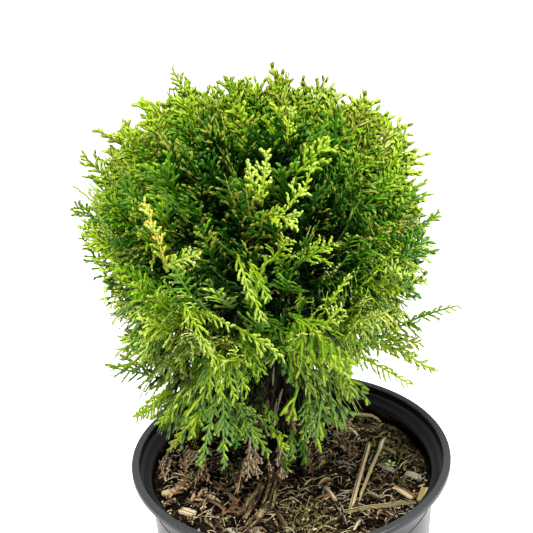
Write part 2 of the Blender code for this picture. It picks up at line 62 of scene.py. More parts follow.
def unit(vector):
    return vector / np.maximum(np.linalg.norm(vector, axis=-1, keepdims=True), 1e-12)


def aimAt(azimuth, angle):
    a = math.radians(azimuth)
    e = math.radians(angle)
    return np.array((math.cos(a) * math.cos(e), math.sin(a) * math.cos(e), math.sin(e)))


def curveAt(points, t):
    t = np.asarray(t, float)[..., None]
    row = [np.asarray(p, float) for p in points]
    while len(row) > 1:
        row = [mix(a, b, t) for a, b in zip(row, row[1:])]
    return row[0]


def curveAhead(points, t):
    t = np.asarray(t, float)
    return unit(curveAt(points, np.minimum(t + 0.01, 1.0)) - curveAt(points, np.maximum(t - 0.01, 0.0)))


def curveLength(points):
    marks = curveAt(points, np.linspace(0.0, 1.0, 13))
    return float(np.linalg.norm(np.diff(marks, axis=0), axis=1).sum())


def bump(x, y, z=0.5):
    return noise.noise(Vector((x, y, z)))


def addPiece(name, points, faces, finishes, tones=None, smooth=True):
    # faces is a list of index arrays, (n, 3) or (n, 4); tones is one material number for each face
    mesh = bpy.data.meshes.new(name)
    points = np.asarray(points, np.float32).reshape(-1, 3)
    faces = [np.asarray(f, np.int32) for f in faces if len(f)]
    corners = np.concatenate([f.ravel() for f in faces])
    sizes = np.concatenate([np.full(len(f), f.shape[1]) for f in faces])
    mesh.vertices.add(len(points))
    mesh.vertices.foreach_set("co", points.ravel())
    mesh.loops.add(len(corners))
    mesh.loops.foreach_set("vertex_index", corners)
    mesh.polygons.add(len(sizes))
    mesh.polygons.foreach_set("loop_start", np.concatenate(([0], np.cumsum(sizes)[:-1])))
    mesh.polygons.foreach_set("loop_total", sizes)
    mesh.polygons.foreach_set("use_smooth", np.full(len(sizes), smooth))
    for finish in finishes:
        mesh.materials.append(finish)
    if tones is not None:
        mesh.polygons.foreach_set("material_index", np.asarray(tones, np.int32))
    mesh.update(calc_edges=True)
    mesh.validate()
    piece = bpy.data.objects.new(name, mesh)
    bpy.context.scene.collection.objects.link(piece)
    return piece


def place(piece, slot, *stoodFor):
    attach(piece, "root")
    if stoodFor:
        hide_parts(*stoodFor)


def triangleCount(piece):
    return sum(len(face.vertices) - 2 for face in piece.data.polygons)


# Shader node groups, each built once and placed in several materials.
def newGroup(name, inputs, outputs):
    tree = bpy.data.node_groups.new(name, "ShaderNodeTree")
    for label, kind, value in inputs:
        socket = tree.interface.new_socket(name=label, in_out="INPUT", socket_type=kind)
        if value is not None:
            socket.default_value = value
    for label, kind in outputs:
        tree.interface.new_socket(name=label, in_out="OUTPUT", socket_type=kind)
    return tree, tree.nodes.new("NodeGroupInput"), tree.nodes.new("NodeGroupOutput")


def noiseNode(tree, coords, scale, detail=3.0, rough=0.55):
    node = tree.nodes.new("ShaderNodeTexNoise")
    node.inputs["Detail"].default_value = detail
    node.inputs["Roughness"].default_value = rough
    if isinstance(scale, float):
        node.inputs["Scale"].default_value = scale
    else:
        tree.links.new(scale, node.inputs["Scale"])
    tree.links.new(coords, node.inputs["Vector"])
    return node


def rangeNode(tree, value, low, high, toLow, toHigh):
    node = tree.nodes.new("ShaderNodeMapRange")
    for label, given in (("From Min", low), ("From Max", high), ("To Min", toLow), ("To Max", toHigh)):
        if isinstance(given, float):
            node.inputs[label].default_value = given
        else:
            tree.links.new(given, node.inputs[label])
    tree.links.new(value, node.inputs["Value"])
    return node


def mixNode(tree, factor, first, second):
    node = tree.nodes.new("ShaderNodeMix")
    node.data_type = "RGBA"
    for label, source in (("Factor", factor), ("A", first), ("B", second)):
        tree.links.new(source, node.inputs[label])
    return node


def skinGroup():
    # fine uneven surface: gives a roughness and a normal
    tree, enter, leave = newGroup("unevenSkin", [
        ("Scale", "NodeSocketFloat", 400.0), ("Smoothest", "NodeSocketFloat", 0.4),
        ("Roughest", "NodeSocketFloat", 0.6), ("Relief", "NodeSocketFloat", 0.3),
        ("Depth", "NodeSocketFloat", 0.0003)],
        [("Roughness", "NodeSocketFloat"), ("Normal", "NodeSocketVector")])
    coords = tree.nodes.new("ShaderNodeTexCoord").outputs["Object"]
    grain = noiseNode(tree, coords, enter.outputs["Scale"])
    spread = rangeNode(tree, grain.outputs["Fac"], 0.3, 0.7,
                       enter.outputs["Smoothest"], enter.outputs["Roughest"])
    relief = tree.nodes.new("ShaderNodeBump")
    tree.links.new(enter.outputs["Relief"], relief.inputs["Strength"])
    tree.links.new(enter.outputs["Depth"], relief.inputs["Distance"])
    tree.links.new(grain.outputs["Fac"], relief.inputs["Height"])
    tree.links.new(spread.outputs["Result"], leave.inputs["Roughness"])
    tree.links.new(relief.outputs["Normal"], leave.inputs["Normal"])
    return tree


def driftGroup():
    # colour that drifts between three tones, stretched along one axis for a grain
    tree, enter, leave = newGroup("colourDrift", [
        ("Dark", "NodeSocketColor", None), ("Middle", "NodeSocketColor", None),
        ("Light", "NodeSocketColor", None), ("Scale", "NodeSocketFloat", 60.0),
        ("Stretch", "NodeSocketVector", (1.0, 1.0, 1.0))], [("Color", "NodeSocketColor")])
    coords = tree.nodes.new("ShaderNodeTexCoord").outputs["Object"]
    stretched = tree.nodes.new("ShaderNodeVectorMath")
    stretched.operation = "MULTIPLY"
    tree.links.new(coords, stretched.inputs[0])
    tree.links.new(enter.outputs["Stretch"], stretched.inputs[1])
    grain = noiseNode(tree, stretched.outputs["Vector"], enter.outputs["Scale"], 5.0, 0.62)
    under = rangeNode(tree, grain.outputs["Fac"], 0.36, 0.52, 0.0, 1.0)
    over = rangeNode(tree, grain.outputs["Fac"], 0.54, 0.70, 0.0, 1.0)
    first = mixNode(tree, under.outputs["Result"], enter.outputs["Dark"], enter.outputs["Middle"])
    second = mixNode(tree, over.outputs["Result"], first.outputs["Result"], enter.outputs["Light"])
    tree.links.new(second.outputs["Result"], leave.inputs["Color"])
    return tree


unevenSkin = skinGroup()
colourDrift = driftGroup()


def linear(colour):
    # from the 0 to 255 numbers of a colour picker to Blender's own
    values = [c / 255.0 for c in colour]
    return tuple(c / 12.92 if c <= 0.04045 else ((c + 0.055) / 1.055) ** 2.4 for c in values)


def newFinish(name, colour, skin, drift=None, specular=0.5):
    # skin: scale, smoothest, roughest, relief, depth; drift: dark, light, scale, stretch
    made = bpy.data.materials.new(name)
    made.use_nodes = True
    tree = made.node_tree
    shader = tree.nodes["Principled BSDF"]
    shader.inputs["Base Color"].default_value = (*linear(colour), 1.0)
    shader.inputs["Specular IOR Level"].default_value = specular
    surface = tree.nodes.new("ShaderNodeGroup")
    surface.node_tree = unevenSkin
    for label, value in zip(("Scale", "Smoothest", "Roughest", "Relief", "Depth"), skin):
        surface.inputs[label].default_value = value
    tree.links.new(surface.outputs["Roughness"], shader.inputs["Roughness"])
    tree.links.new(surface.outputs["Normal"], shader.inputs["Normal"])
    if drift:
        dark, light, scale, stretch = drift
        tint = tree.nodes.new("ShaderNodeGroup")
        tint.node_tree = colourDrift
        tint.inputs["Dark"].default_value = (*linear(dark), 1.0)
        tint.inputs["Middle"].default_value = (*linear(colour), 1.0)
        tint.inputs["Light"].default_value = (*linear(light), 1.0)
        tint.inputs["Scale"].default_value = scale
        tint.inputs["Stretch"].default_value = stretch
        tree.links.new(tint.outputs["Color"], shader.inputs["Base Color"])
    return made


# The pot: a turned shell with its lip, ribs, ledge, drain holes and satin plastic.
potLook = {
    "height": potHigh.z, "rim": potHigh.x, "lipWidth": 0.0054, "lipDepth": 0.0045,
    "neck": 0.1008, "neckDepth": 0.0125, "base": 0.0895, "heel": 0.0045, "wall": 0.0018,
    "floor": 0.0028, "ledgeDepth": 0.0062, "steps": 160, "softEdge": 0.0012, "lipEdge": 0.0007,
    "underLip": ((0.0036, 0.0046), (0.0070, 0.0060)),     # in from the rim, down from the top
    "ribLean": (0.0060, 0.0125, 0.0075, 0.0008),     # depths, in from the rim above, out of the neck below
    "neckEdge": 0.0006, "innerBead": (0.0013, 0.0106, 0.0006),     # bead: in from the neck, depth, size
    "ribs": ((0.0079, 0.0007), (0.0101, 0.0006)),     # depth under the rim, height of each fine rib
    "mouldRing": (0.0260, 0.00035),                  # depth and height of the ring round the wall
    "wallHeights": (0.150, 0.110, 0.075, 0.040, 0.016), "kneeHeight": 0.11,
    "footRing": (0.072, 0.0662, 0.0006),             # groove underneath: outer and inner radius, depth
    "drains": 6, "drainRadius": 0.0055, "drainHeight": 0.0115, "drainDepth": 0.014,
    # the depth down from the top that takes the lip finish: a painted highlight on the lip's top
    "lipHighlightDepth": 0.0008, "beadDepths": (0.0098, 0.0113), "sharpAngle": 38.0,
    "colour": (12, 13, 15), "dusty": (30, 31, 32), "worn": (8, 9, 10),
    # lip: a lighter grey, painted highlight on the lip's top; inside: near black, painted shade on the
    # inner wall
    "lip": (58, 60, 61), "inside": (4, 5, 5),
}


def potWall(height):
    look = potLook
    return mix(look["base"], look["neck"], height / (look["height"] - look["neckDepth"]))


def arcPoints(centre, radius, first, last, count):
    # part of a circle in the profile, angles in degrees from straight out
    turns = np.radians(np.linspace(first, last, count))
    return [(centre[0] + radius * math.cos(a), centre[1] + radius * math.sin(a)) for a in turns]


def beadPoints(radius, height, size):
    # small half-round bead that stands out of the wall, from its top to its bottom
    turns = np.radians(np.linspace(80.0, -80.0, 5))
    return [(radius + size * math.cos(a), height + size * math.sin(a)) for a in turns]


def potProfile():
    look = potLook
    top, rim, wall = look["height"], look["rim"], look["wall"]
    inner = rim - look["lipWidth"]
    neck = top - look["neckDepth"]
    soft = look["softEdge"]
    outside = arcPoints((rim - soft, top - soft), soft, 90.0, 0.0, 5)
    outside += [(rim - 0.0001, top - 0.5 * look["lipDepth"])]
    edge = look["lipEdge"]
    outside += arcPoints((rim - edge, top - look["lipDepth"] + edge), edge, 0.0, -90.0, 4)
    outside += [(rim - inward, top - depth) for inward, depth in look["underLip"]]
    high, low, inward, outward = look["ribLean"]
    for depth, size in look["ribs"]:
        lean = (depth - high) / (low - high)
        outside += beadPoints(mix(rim - inward, look["neck"] + outward, lean), top - depth, size)
    bevel = look["neckEdge"]
    outside += [(look["neck"] + bevel, neck + bevel), (look["neck"], neck - bevel)]
    ringDepth, ringSize = look["mouldRing"]
    outside += beadPoints(potWall(top - ringDepth) - 0.3 * ringSize, top - ringDepth, ringSize)
    for height in look["wallHeights"]:
        outside.append((potWall(height), height))
    heel = look["heel"]
    outside += arcPoints((potWall(heel) - heel, heel), heel, 0.0, -90.0, 7)
    footOut, footIn, footDepth = look["footRing"]
    outside += [(footOut, 0.0), (footOut - 0.0010, footDepth), (footIn + 0.0010, footDepth), (footIn, 0.0)]
    outside += [(0.0, 0.0)]
    inside = [(0.0, look["floor"]), (look["base"] - heel - wall, look["floor"])]
    for height in (look["floor"] + heel, look["kneeHeight"]):
        inside.append((potWall(height) - wall, height))
    inside += [(look["neck"] - wall, neck), (look["neck"] - 0.0008, top - 0.0118)]
    inward, depth, size = look["innerBead"]
    inside += beadPoints(look["neck"] - inward, top - depth, size)[::-1]
    ledge = look["ledgeDepth"]
    inside += [(look["neck"], top - 1.6 * ledge), (inner - wall, top - ledge - 0.0008)]
    inside += [(inner - wall + 0.0008, top - ledge), (inner - 0.0004, top - ledge + 0.0004)]
    inside += [(inner, top - 0.0035)]
    inside += arcPoints((inner + soft, top - soft), soft, 180.0, 90.0, 5)
    return outside + inside


def ringPoints(radius, height, steps):
    turns = np.linspace(0.0, math.tau, steps, endpoint=False)
    return np.stack([radius * np.cos(turns), radius * np.sin(turns), np.full(steps, height)], axis=1)


def ringFaces(rows, steps):
    # quads between rings of points that close on themselves
    first = np.arange(rows - 1)[:, None] * steps
    here = np.arange(steps)[None, :]
    after = (here + 1) % steps
    quads = np.stack([first + here, first + steps + here, first + steps + after, first + after], axis=-1)
    return quads.reshape(-1, 4)


def tubeCaps(rows, steps):
    # fans that close both ends of a tube, whose two middle points come after its rings
    here = np.arange(steps)
    after = (here + 1) % steps
    middle, last = rows * steps, (rows - 1) * steps
    foot = np.stack([np.full(steps, middle), here, after], axis=1)
    head = np.stack([np.full(steps, middle + 1), last + after, last + here], axis=1)
    return np.concatenate([foot, head])


def buildPot():
    look = potLook
    bm = bmesh.new()
    rings = []
    for radius, height in potProfile():
        if radius == 0.0:
            rings.append([bm.verts.new((0.0, 0.0, height))])
        else:
            rings.append([bm.verts.new(point) for point in ringPoints(radius, height, look["steps"])])
    for near, far in zip(rings, rings[1:] + rings[:1]):
        for i in range(look["steps"]):
            j = (i + 1) % look["steps"]
            if len(near) == 1 and len(far) == 1:
                continue
            if len(near) == 1:
                bm.faces.new((near[0], far[i], far[j]))
            elif len(far) == 1:
                bm.faces.new((near[i], far[0], near[j]))
            else:
                bm.faces.new((near[i], far[i], far[j], near[j]))
    bmesh.ops.recalc_face_normals(bm, faces=bm.faces)
    mesh = bpy.data.meshes.new("potShell")
    bm.to_mesh(mesh)
    bm.free()
    pot = bpy.data.objects.new("potShell", mesh)
    bpy.context.scene.collection.objects.link(pot)
    mesh.materials.append(potPlastic())
    lipSkin, insideSkin = (160.0, 0.24, 0.31, 0.0, 0.0001), (260.0, 0.22, 0.36, 0.02, 0.0001)
    # the lip's top: a lighter grey that paints the highlight on the black plastic
    mesh.materials.append(newFinish("potLipPaintedHighlight", look["lip"], lipSkin, None, 0.6))
    # the inner wall: near black, painted shade inside the pot
    mesh.materials.append(newFinish("potInsidePaintedShade", look["inside"], insideSkin, None, 0.4))
    for face in mesh.polygons:
        face.material_index = potPart(face.center, face.normal)
    cutter = drainCutter()
    cut = pot.modifiers.new("drains", "BOOLEAN")
    cut.operation = "DIFFERENCE"
    cut.solver = "EXACT"
    cut.object = cutter
    applied = bpy.data.meshes.new_from_object(pot.evaluated_get(bpy.context.evaluated_depsgraph_get()))
    pot.modifiers.clear()
    pot.data = applied
    bpy.data.objects.remove(cutter)
    pot.data.shade_smooth()
    pot.data.set_sharp_from_angle(angle=math.radians(look["sharpAngle"]))
    place(pot, "pot", "pot")
    print("pot turned:", triangleCount(pot), "triangles")


def potPart(spot, normal):
    # 0 the outer wall and the thin bead inside, 1 the lip's top, painted lighter grey as a highlight, 2 the
    # inner wall, painted near black as shade
    depth = potLook["height"] - spot.z
    # the lip's top takes the lighter finish, a painted highlight
    if depth < potLook["lipHighlightDepth"]:
        return 1
    beadTop, beadFoot = potLook["beadDepths"]
    bead = beadTop < depth < beadFoot
    return 2 if spot.xy.dot(normal.xy) < 0.0 and not bead else 0


def drainCutter():
    look = potLook
    bm = bmesh.new()
    for k in range(look["drains"]):
        turn = math.tau * (k + 0.5) / look["drains"]
        flat = (look["base"] * math.cos(turn), look["base"] * math.sin(turn))
        spot = Matrix.Translation((*flat, look["drainHeight"]))
        turned = spot @ Matrix.Rotation(turn, 4, "Z") @ Matrix.Rotation(math.radians(90.0), 4, "Y")
        bmesh.ops.create_cone(bm, cap_ends=True, segments=28, radius1=look["drainRadius"],
                              radius2=look["drainRadius"], depth=look["drainDepth"], matrix=turned)
    mesh = bpy.data.meshes.new("drainCutter")
    bm.to_mesh(mesh)
    bm.free()
    cutter = bpy.data.objects.new("drainCutter", mesh)
    bpy.context.scene.collection.objects.link(cutter)
    return cutter


def potPlastic():
    # satin black polypropylene: dust that clings in patches, fine upright scuffs
    look = potLook
    return newFinish("potPlastic", look["colour"], (900.0, 0.13, 0.24, 0.05, 0.0002),
                     (look["worn"], look["dusty"], 34.0, (1.0, 1.0, 0.25)), 0.5)


# The soil that fills the pot.
soilLook = {
    "top": 0.193, "roughness": 0.0024, "bumps": 60.0, "flat": 0.040,
    "crumbs": ((150.0, 0.0011), (420.0, 0.0006)),     # waves in a metre and height
    "rings": 66, "steps": 200, "clearance": 0.0003,
    "dark": (5, 4, 3), "colour": (18, 14, 10), "light": (50, 40, 28),
}
trunkFoot = np.array((-0.012, 0.008))
stemFoot = np.array((0.0085, -0.002))


def soilHeight(x, y):
    look = soilLook
    away = math.hypot(x - trunkFoot[0], y - trunkFoot[1])
    free = float(easeStep(look["flat"], 1.6 * look["flat"], away))
    height = look["top"] + look["roughness"] * bump(x * look["bumps"], y * look["bumps"]) * free
    for waves, size in look["crumbs"]:
        height += size * bump(x * waves, y * waves, 7.5) * (0.35 + 0.65 * free)
    return height


def buildSoil():
    look = soilLook
    steps = look["steps"]
    inner = potLook["wall"] + look["clearance"]
    edge = potWall(look["top"]) - inner
    turns = np.linspace(0.0, math.tau, steps, endpoint=False)
    radii = edge * np.linspace(0.0, 1.0, look["rings"] + 1)[1:]
    points = [(0.0, 0.0, soilHeight(0.0, 0.0))]
    for radius in radii:
        for turn in turns:
            x, y = radius * math.cos(turn), radius * math.sin(turn)
            points.append((x, y, soilHeight(x, y)))
    low = potLook["floor"] + look["clearance"]
    under = [(potWall(height) - inner, height) for height in (potLook["kneeHeight"], low + potLook["heel"])]
    under.append((potLook["base"] - potLook["heel"] - inner, low))
    for radius, height in under:
        points += [(radius * math.cos(turn), radius * math.sin(turn), height) for turn in turns]
    points.append((0.0, 0.0, low))
    rows = len(radii) + len(under)
    here = np.arange(steps)
    after = (here + 1) % steps
    fan = np.stack([np.zeros(steps, int), 1 + here, 1 + after], axis=1)
    last = 1 + (rows - 1) * steps
    close = np.stack([np.full(steps, len(points) - 1), last + after, last + here], axis=1)
    body = ringFaces(rows, steps) + 1
    finish = newFinish("soil", look["colour"], (700.0, 0.75, 1.0, 0.9, 0.0012),
                       (look["dark"], look["light"], 260.0, (1.0, 1.0, 1.0)), 0.05)
    soil = addPiece("soilBed", points, [fan, body, close], [finish])
    place(soil, "soil", "soil")
    print("soil laid:", triangleCount(soil), "triangles")


# The skeleton: trunk, side stem and boughs by the same rule as the solids.
crown = {
    "centre": np.array((-0.013, 0.0, 0.371)), "radius": 0.1215, "waist": 0.010, "skirtDrop": 0.042,
    "bulges": (                                      # way from the centre, how far it swells or sinks there
        ((-0.845, 0.201, 0.495), 0.005), ((-0.953, -0.13, -0.27), -0.010), ((0.998, 0.03, 0.04), -0.007),
        ((-0.735, -0.28, -0.62), 0.014), ((0.465, -0.346, -0.815), -0.020), ((0.06, 0.10, 0.99), -0.005),
    ),
    "soilGap": 0.006, "boughEnd": 0.037, "lowest": -74.0, "hangsBelow": -0.66,
    "wallRise": 0.028, "wallReach": 0.080,           # no spray ends lower over the pot's wall than this
    "keepOff": 0.002, "keepOffWall": 0.0055,         # how near a shoot comes to the soil and the wall
}
trunkLook = {
    "bend": np.array((0.004, -0.003)), "radius": 0.0074, "tip": 0.0026,
    "flare": 0.0122, "flareHeight": 0.014, "sides": 44, "rings": 150,
    "furrow": 0.00055, "strips": 0.00035,
    # bark tones kept near black: painted shade, as the trunk and boughs stand in the shade under the crown
    "dark": (8, 8, 6), "colour": (20, 18, 14), "light": (74, 66, 52),
}
massRings = {
    "upper": {"angle": 42.0, "count": 5, "first": -110.0, "foot": 0.009, "spread": 0.016, "radius": 0.0022},
    "middle": {"angle": 1.0, "count": 6, "first": -84.0, "foot": 0.038, "spread": 0.024, "radius": 0.0026},
    "lower": {"angle": -41.0, "count": 5, "first": -126.0, "foot": 0.082, "spread": 0.024,
              "radius": 0.0030},
}
boughLook = {"taper": 0.42, "sides": 14, "rings": 34, "furrow": 0.00022, "strips": 0.00016}
sideStemMass = "lower_2"
stemRadius = 0.0026
limbFoot = soilLook["top"] + soilLook["clearance"]
trunkTop = crown["centre"][2] + crown["boughEnd"]


def crownMasses():
    masses = {"top": (np.array((0.0, 0.0, 1.0)), "top", 0)}
    for ring, sizes in massRings.items():
        for k in range(sizes["count"]):
            azimuth = sizes["first"] + 360.0 * k / sizes["count"]
            masses["%s_%d" % (ring, k + 1)] = (aimAt(azimuth, sizes["angle"]), ring, k)
    return masses


def trunkAxis(height):
    t = (height - limbFoot) / (trunkTop - limbFoot)
    flat = mix(trunkFoot, crown["centre"][:2], t) + trunkLook["bend"] * math.sin(math.pi * t)
    return np.array((flat[0], flat[1], height))


def trunkRadius(height):
    look = trunkLook
    t = (height - limbFoot) / (trunkTop - limbFoot)
    flare = math.exp(-(height - limbFoot) / (0.4 * look["flareHeight"]))
    return mix(look["radius"], look["tip"], t) + (look["flare"] - look["radius"]) * flare


def limbRoute(name, masses):
    aim, ring, number = masses[name]
    end = crown["centre"] + aim * crown["boughEnd"]
    lead = 0.45 * crown["boughEnd"]
    if name == sideStemMass:
        foot = np.array((*stemFoot, limbFoot))
        rise = np.array((0.0, 0.0, 2.0 * crown["boughEnd"]))
        return [foot, foot + rise, end - aim * lead, end], stemRadius
    sizes = massRings[ring]
    spread = sizes["spread"] * ((number * golden) % 1.0 - 0.5)
    height = crown["centre"][2] - sizes["foot"] + spread
    out = unit(np.array((aim[0], aim[1], 0.0)))
    foot = trunkAxis(height) + out * (trunkRadius(height) * 0.9)
    rise = unit(out + np.array((0.0, 0.0, 1.0)))
    bend = foot + rise * (0.3 * np.linalg.norm(end - foot))
    return [foot, bend, end - aim * lead, end], sizes["radius"]


def barkTube(line, radii, sides, furrow, strips, seed, lobes=0.0):
    # tube along a line with long furrows and peeling strips cut into its surface
    line = np.asarray(line)
    ahead = unit(np.gradient(line, axis=0))
    across = unit(np.cross(ahead, np.array((0.31, 0.93, 0.2))))
    other = np.cross(ahead, across)
    points = []
    along = np.concatenate(([0.0], np.cumsum(np.linalg.norm(np.diff(line, axis=0), axis=1))))
    for k in range(len(line)):
        for i in range(sides):
            turn = math.tau * i / sides
            twist = turn + 5.0 * along[k]
            wide, high = math.cos(twist), math.sin(twist)
            long = bump(wide * 3.2, high * 3.2, along[k] * 26.0 + seed)
            fine = bump(wide * 7.5, high * 7.5, along[k] * 75.0 + seed)
            swell = 1.0 + lobes * math.exp(-along[k] / 0.014) * math.sin(3.0 * turn + 0.6)
            cut = furrow * min(0.0, long) * 2.2 + strips * abs(fine) * 1.6
            reach = radii[k] * swell + cut
            points.append(line[k] + (across[k] * math.cos(turn) + other[k] * math.sin(turn)) * reach)
    points += [line[0], line[-1]]
    return np.array(points), ringFaces(len(line), sides), tubeCaps(len(line), sides)


class Heap:
    # gathers bodies made of points, quads, triangles and tones, to be joined into one piece
    def __init__(self):
        self.points, self.quads, self.tris = [], [], []
        self.quadTones, self.triTones, self.count = [], [], 0

    def add(self, points, quads, tris, tone=0, triTone=None):
        self.points.append(np.asarray(points, float).reshape(-1, 3))
        if len(quads):
            self.quads.append(np.asarray(quads) + self.count)
            self.quadTones.append(np.broadcast_to(tone, len(quads)))
        if len(tris):
            self.tris.append(np.asarray(tris) + self.count)
            self.triTones.append(np.broadcast_to(tone if triTone is None else triTone, len(tris)))
        self.count += len(self.points[-1])

    def piece(self, name, finishes, smooth=True):
        faces, tones = [], []
        for group, marks in ((self.quads, self.quadTones), (self.tris, self.triTones)):
            if group:
                faces.append(np.concatenate(group))
                tones.append(np.concatenate(marks))
        return addPiece(name, np.concatenate(self.points), faces, finishes, np.concatenate(tones), smooth)


def buildLimbs(masses):
    look = trunkLook
    # the dark bark tones hold painted shade under the crown
    finish = newFinish("bark", look["colour"], (520.0, 0.72, 0.95, 0.8, 0.0006),
                       (look["dark"], look["light"], 320.0, (1.0, 1.0, 0.16)), 0.25)
    heights = limbFoot + (trunkTop - limbFoot) * np.linspace(0.0, 1.0, look["rings"]) ** 1.2
    line = [trunkAxis(height) for height in heights]
    radii = [trunkRadius(height) for height in heights]
    heap = Heap()
    heap.add(*barkTube(line, radii, look["sides"], look["furrow"], look["strips"], 1.7, 0.14))
    place(heap.piece("trunkBark", [finish]), "bark", "trunk")
    boughs = Heap()
    for number, name in enumerate(masses):
        if name == "top":
            continue
        route, radius = limbRoute(name, masses)
        t = np.linspace(0.0, 1.0, boughLook["rings"])
        radii = radius * (1.0 - boughLook["taper"] * t)
        tube = barkTube(curveAt(route, t), radii, boughLook["sides"], boughLook["furrow"],
                        boughLook["strips"], 3.1 * number)
        if name == sideStemMass:
            stem = Heap()
            stem.add(*tube)
            place(stem.piece("sideStemBark", [finish]), "bark", "side_stem")
        else:
            boughs.add(*tube)
    stoodFor = ["bough_" + name for name in masses if name not in ("top", sideStemMass)]
    place(boughs.piece("boughBark", [finish]), "bark", *stoodFor)
    print("limbs grown")


# The foliage: flat sprays whose scaly shoots branch twice, dealt out in plain greens.
leafTones = {
    # black and deep stand in for shade deep in the crown; light, lime and yellow are paled with extra blue
    # as painted highlights at the tips
    "black": (6, 26, 2), "deep": (20, 58, 4), "shade": (44, 94, 8), "blue": (68, 116, 38),
    "sage": (108, 147, 62), "middle": (83, 132, 13), "fresh": (123, 161, 15), "light": (160, 188, 42),
    "lime": (179, 208, 84), "yellow": (195, 215, 90), "gold": (206, 192, 70), "olive": (132, 144, 40),
    "rust": (156, 118, 80), "deadTan": (212, 178, 132), "deadPale": (236, 212, 176),
    "deadGrey": (140, 122, 96), "deadBrown": (108, 78, 54),
}
leafGloss = {"black": 0.10, "deep": 0.10, "shade": 0.20}     # the other tones have leafShine
leafShine = 0.30
toneNames = list(leafTones)
# the ladder runs from darkest to lightest green; sprays step up or down it by place, so its low steps are
# painted shade and its top steps painted highlights
toneLadder = ["black", "deep", "shade", "middle", "fresh", "light", "lime", "yellow"]
ladderNumbers = np.array([toneNames.index(name) for name in toneLadder])
coneTones = {"coneTan": (180, 172, 100), "coneBrown": (98, 80, 42)}

# Kinds of spray: steps, lengths and widths in metres, open and close in degrees, the rest shares.
sprayTraits = ("step", "open", "close", "lobeStep", "lobe", "axisWidth", "sideWidth", "lobeWidth",
               "sag", "cup", "bare", "gaps", "long", "twist", "uneven", "nod")
sprayRows = {
    "plain": (0.0034, 41.0, 22.0, 0.0031, 0.0062, 0.0024, 0.0023, 0.0022,
              0.10, 0.06, 0.03, 0.05, 0.14, 0.24, 0.10, 0.14),
    "lobed": (0.0037, 40.0, 26.0, 0.0034, 0.0065, 0.0029, 0.0027, 0.0026,
              0.04, 0.04, 0.03, 0.05, 0.10, 0.20, 0.10, 0.10),
    "comb": (0.0027, 58.0, 16.0, 0.0036, 0.0040, 0.0021, 0.0019, 0.0018,
             0.46, 0.12, 0.05, 0.06, 0.16, 0.30, 0.24, 0.36),
    "finger": (0.0062, 36.0, 20.0, 0.0058, 0.0068, 0.0030, 0.0031, 0.0031,
               0.08, 0.08, 0.14, 0.04, 0.20, 0.30, 0.16, 0.16),
    "dead": (0.0024, 36.0, 18.0, 0.0024, 0.0044, 0.0018, 0.0018, 0.0019,
             0.00, -0.10, 0.03, 0.08, 0.10, 0.50, 0.25, 0.30),
    "inner": (0.0064, 56.0, 30.0, 0.0054, 0.0080, 0.0024, 0.0023, 0.0022,
              0.10, 0.08, 0.00, 0.00, 0.10, 0.60, 0.45, 0.28),
}
sprayKinds = {kind: dict(zip(sprayTraits, row)) for kind, row in sprayRows.items()}
# What the shoots of every kind share: lengths in metres, angles in degrees.
shootLook = {
    "shortest": 0.0036, "longest": 0.024, "openSwing": 6.0, "closeSwing": 10.0,
    "reach": 0.62, "unevenReach": (0.60, 1.14), "longer": 1.4, "shortFrom": 0.010,
    "lobeAngle": 34.0, "lobeSwing": 7.0, "lobeLeast": 0.0022,
    "budSize": (0.00058, 0.00088), "brownBuds": 0.55, "toneSwing": 0.15,
}
# Rings of scales and taper of the shoots, by their size.
shootSizes = {"axis": (5, 0.40), "side": (3, 0.15), "lobe": (0, 0.1)}


def crownReach(aim):
    # how far the crown goes from its centre: drawn in under the flanks, then down to the soil
    angle = math.degrees(math.asin(max(-1.0, min(1.0, aim[2]))))
    waist = float(easeStep(2.0, 24.0, -angle)) * (1.0 - float(easeStep(38.0, 58.0, -angle)))
    skirt = float(easeStep(40.0, 74.0, -angle))
    reach = crown["radius"] - crown["waist"] * waist + crown["skirtDrop"] * skirt
    for way, swell in crown["bulges"]:
        reach += swell * float(easeStep(0.80, 1.0, aim @ np.array(way)))
    if aim[2] < -0.2:
        reach = min(reach, (crown["centre"][2] - soilLook["top"] - crown["soilGap"]) / -aim[2])
    return reach


def scaleProfile(pairs):
    # places and widths of the rings of a shoot: every pair of scales flares, then steps in
    if pairs == 0:
        return np.array((0.0, 0.70)), np.array((0.92, 0.98))
    at, wide = [0.0], [0.92]
    for j in range(1, pairs):
        at += [(j - 0.12) / pairs, (j + 0.04) / pairs]
        wide += [1.0, 0.88]
    return np.array(at + [0.93]), np.array(wide + [0.80])


class Shoots:
    # rows of curved shoots: control points, flat side, width and tone
    def __init__(self):
        self.rows = []

    def add(self, start, bend, end, normal, width, tone):
        start = np.atleast_2d(start)
        count = len(start)
        full = [np.broadcast_to(np.atleast_2d(v), (count, 3)) for v in (start, bend, end, normal)]
        plain = [np.broadcast_to(np.asarray(v, float), (count,)) for v in (width, tone)]
        self.rows.append((*full, *plain))

    def gathered(self):
        return [np.concatenate(column) for column in zip(*self.rows)]


def bowAt(rows, t):
    # places on many three-point curves at once
    start, bend, end = rows
    return (1 - t) ** 2 * start + 2 * t * (1 - t) * bend + t * t * end


def bowAhead(rows, t):
    start, bend, end = rows
    return unit((1 - t) * (bend - start) + t * (end - bend))


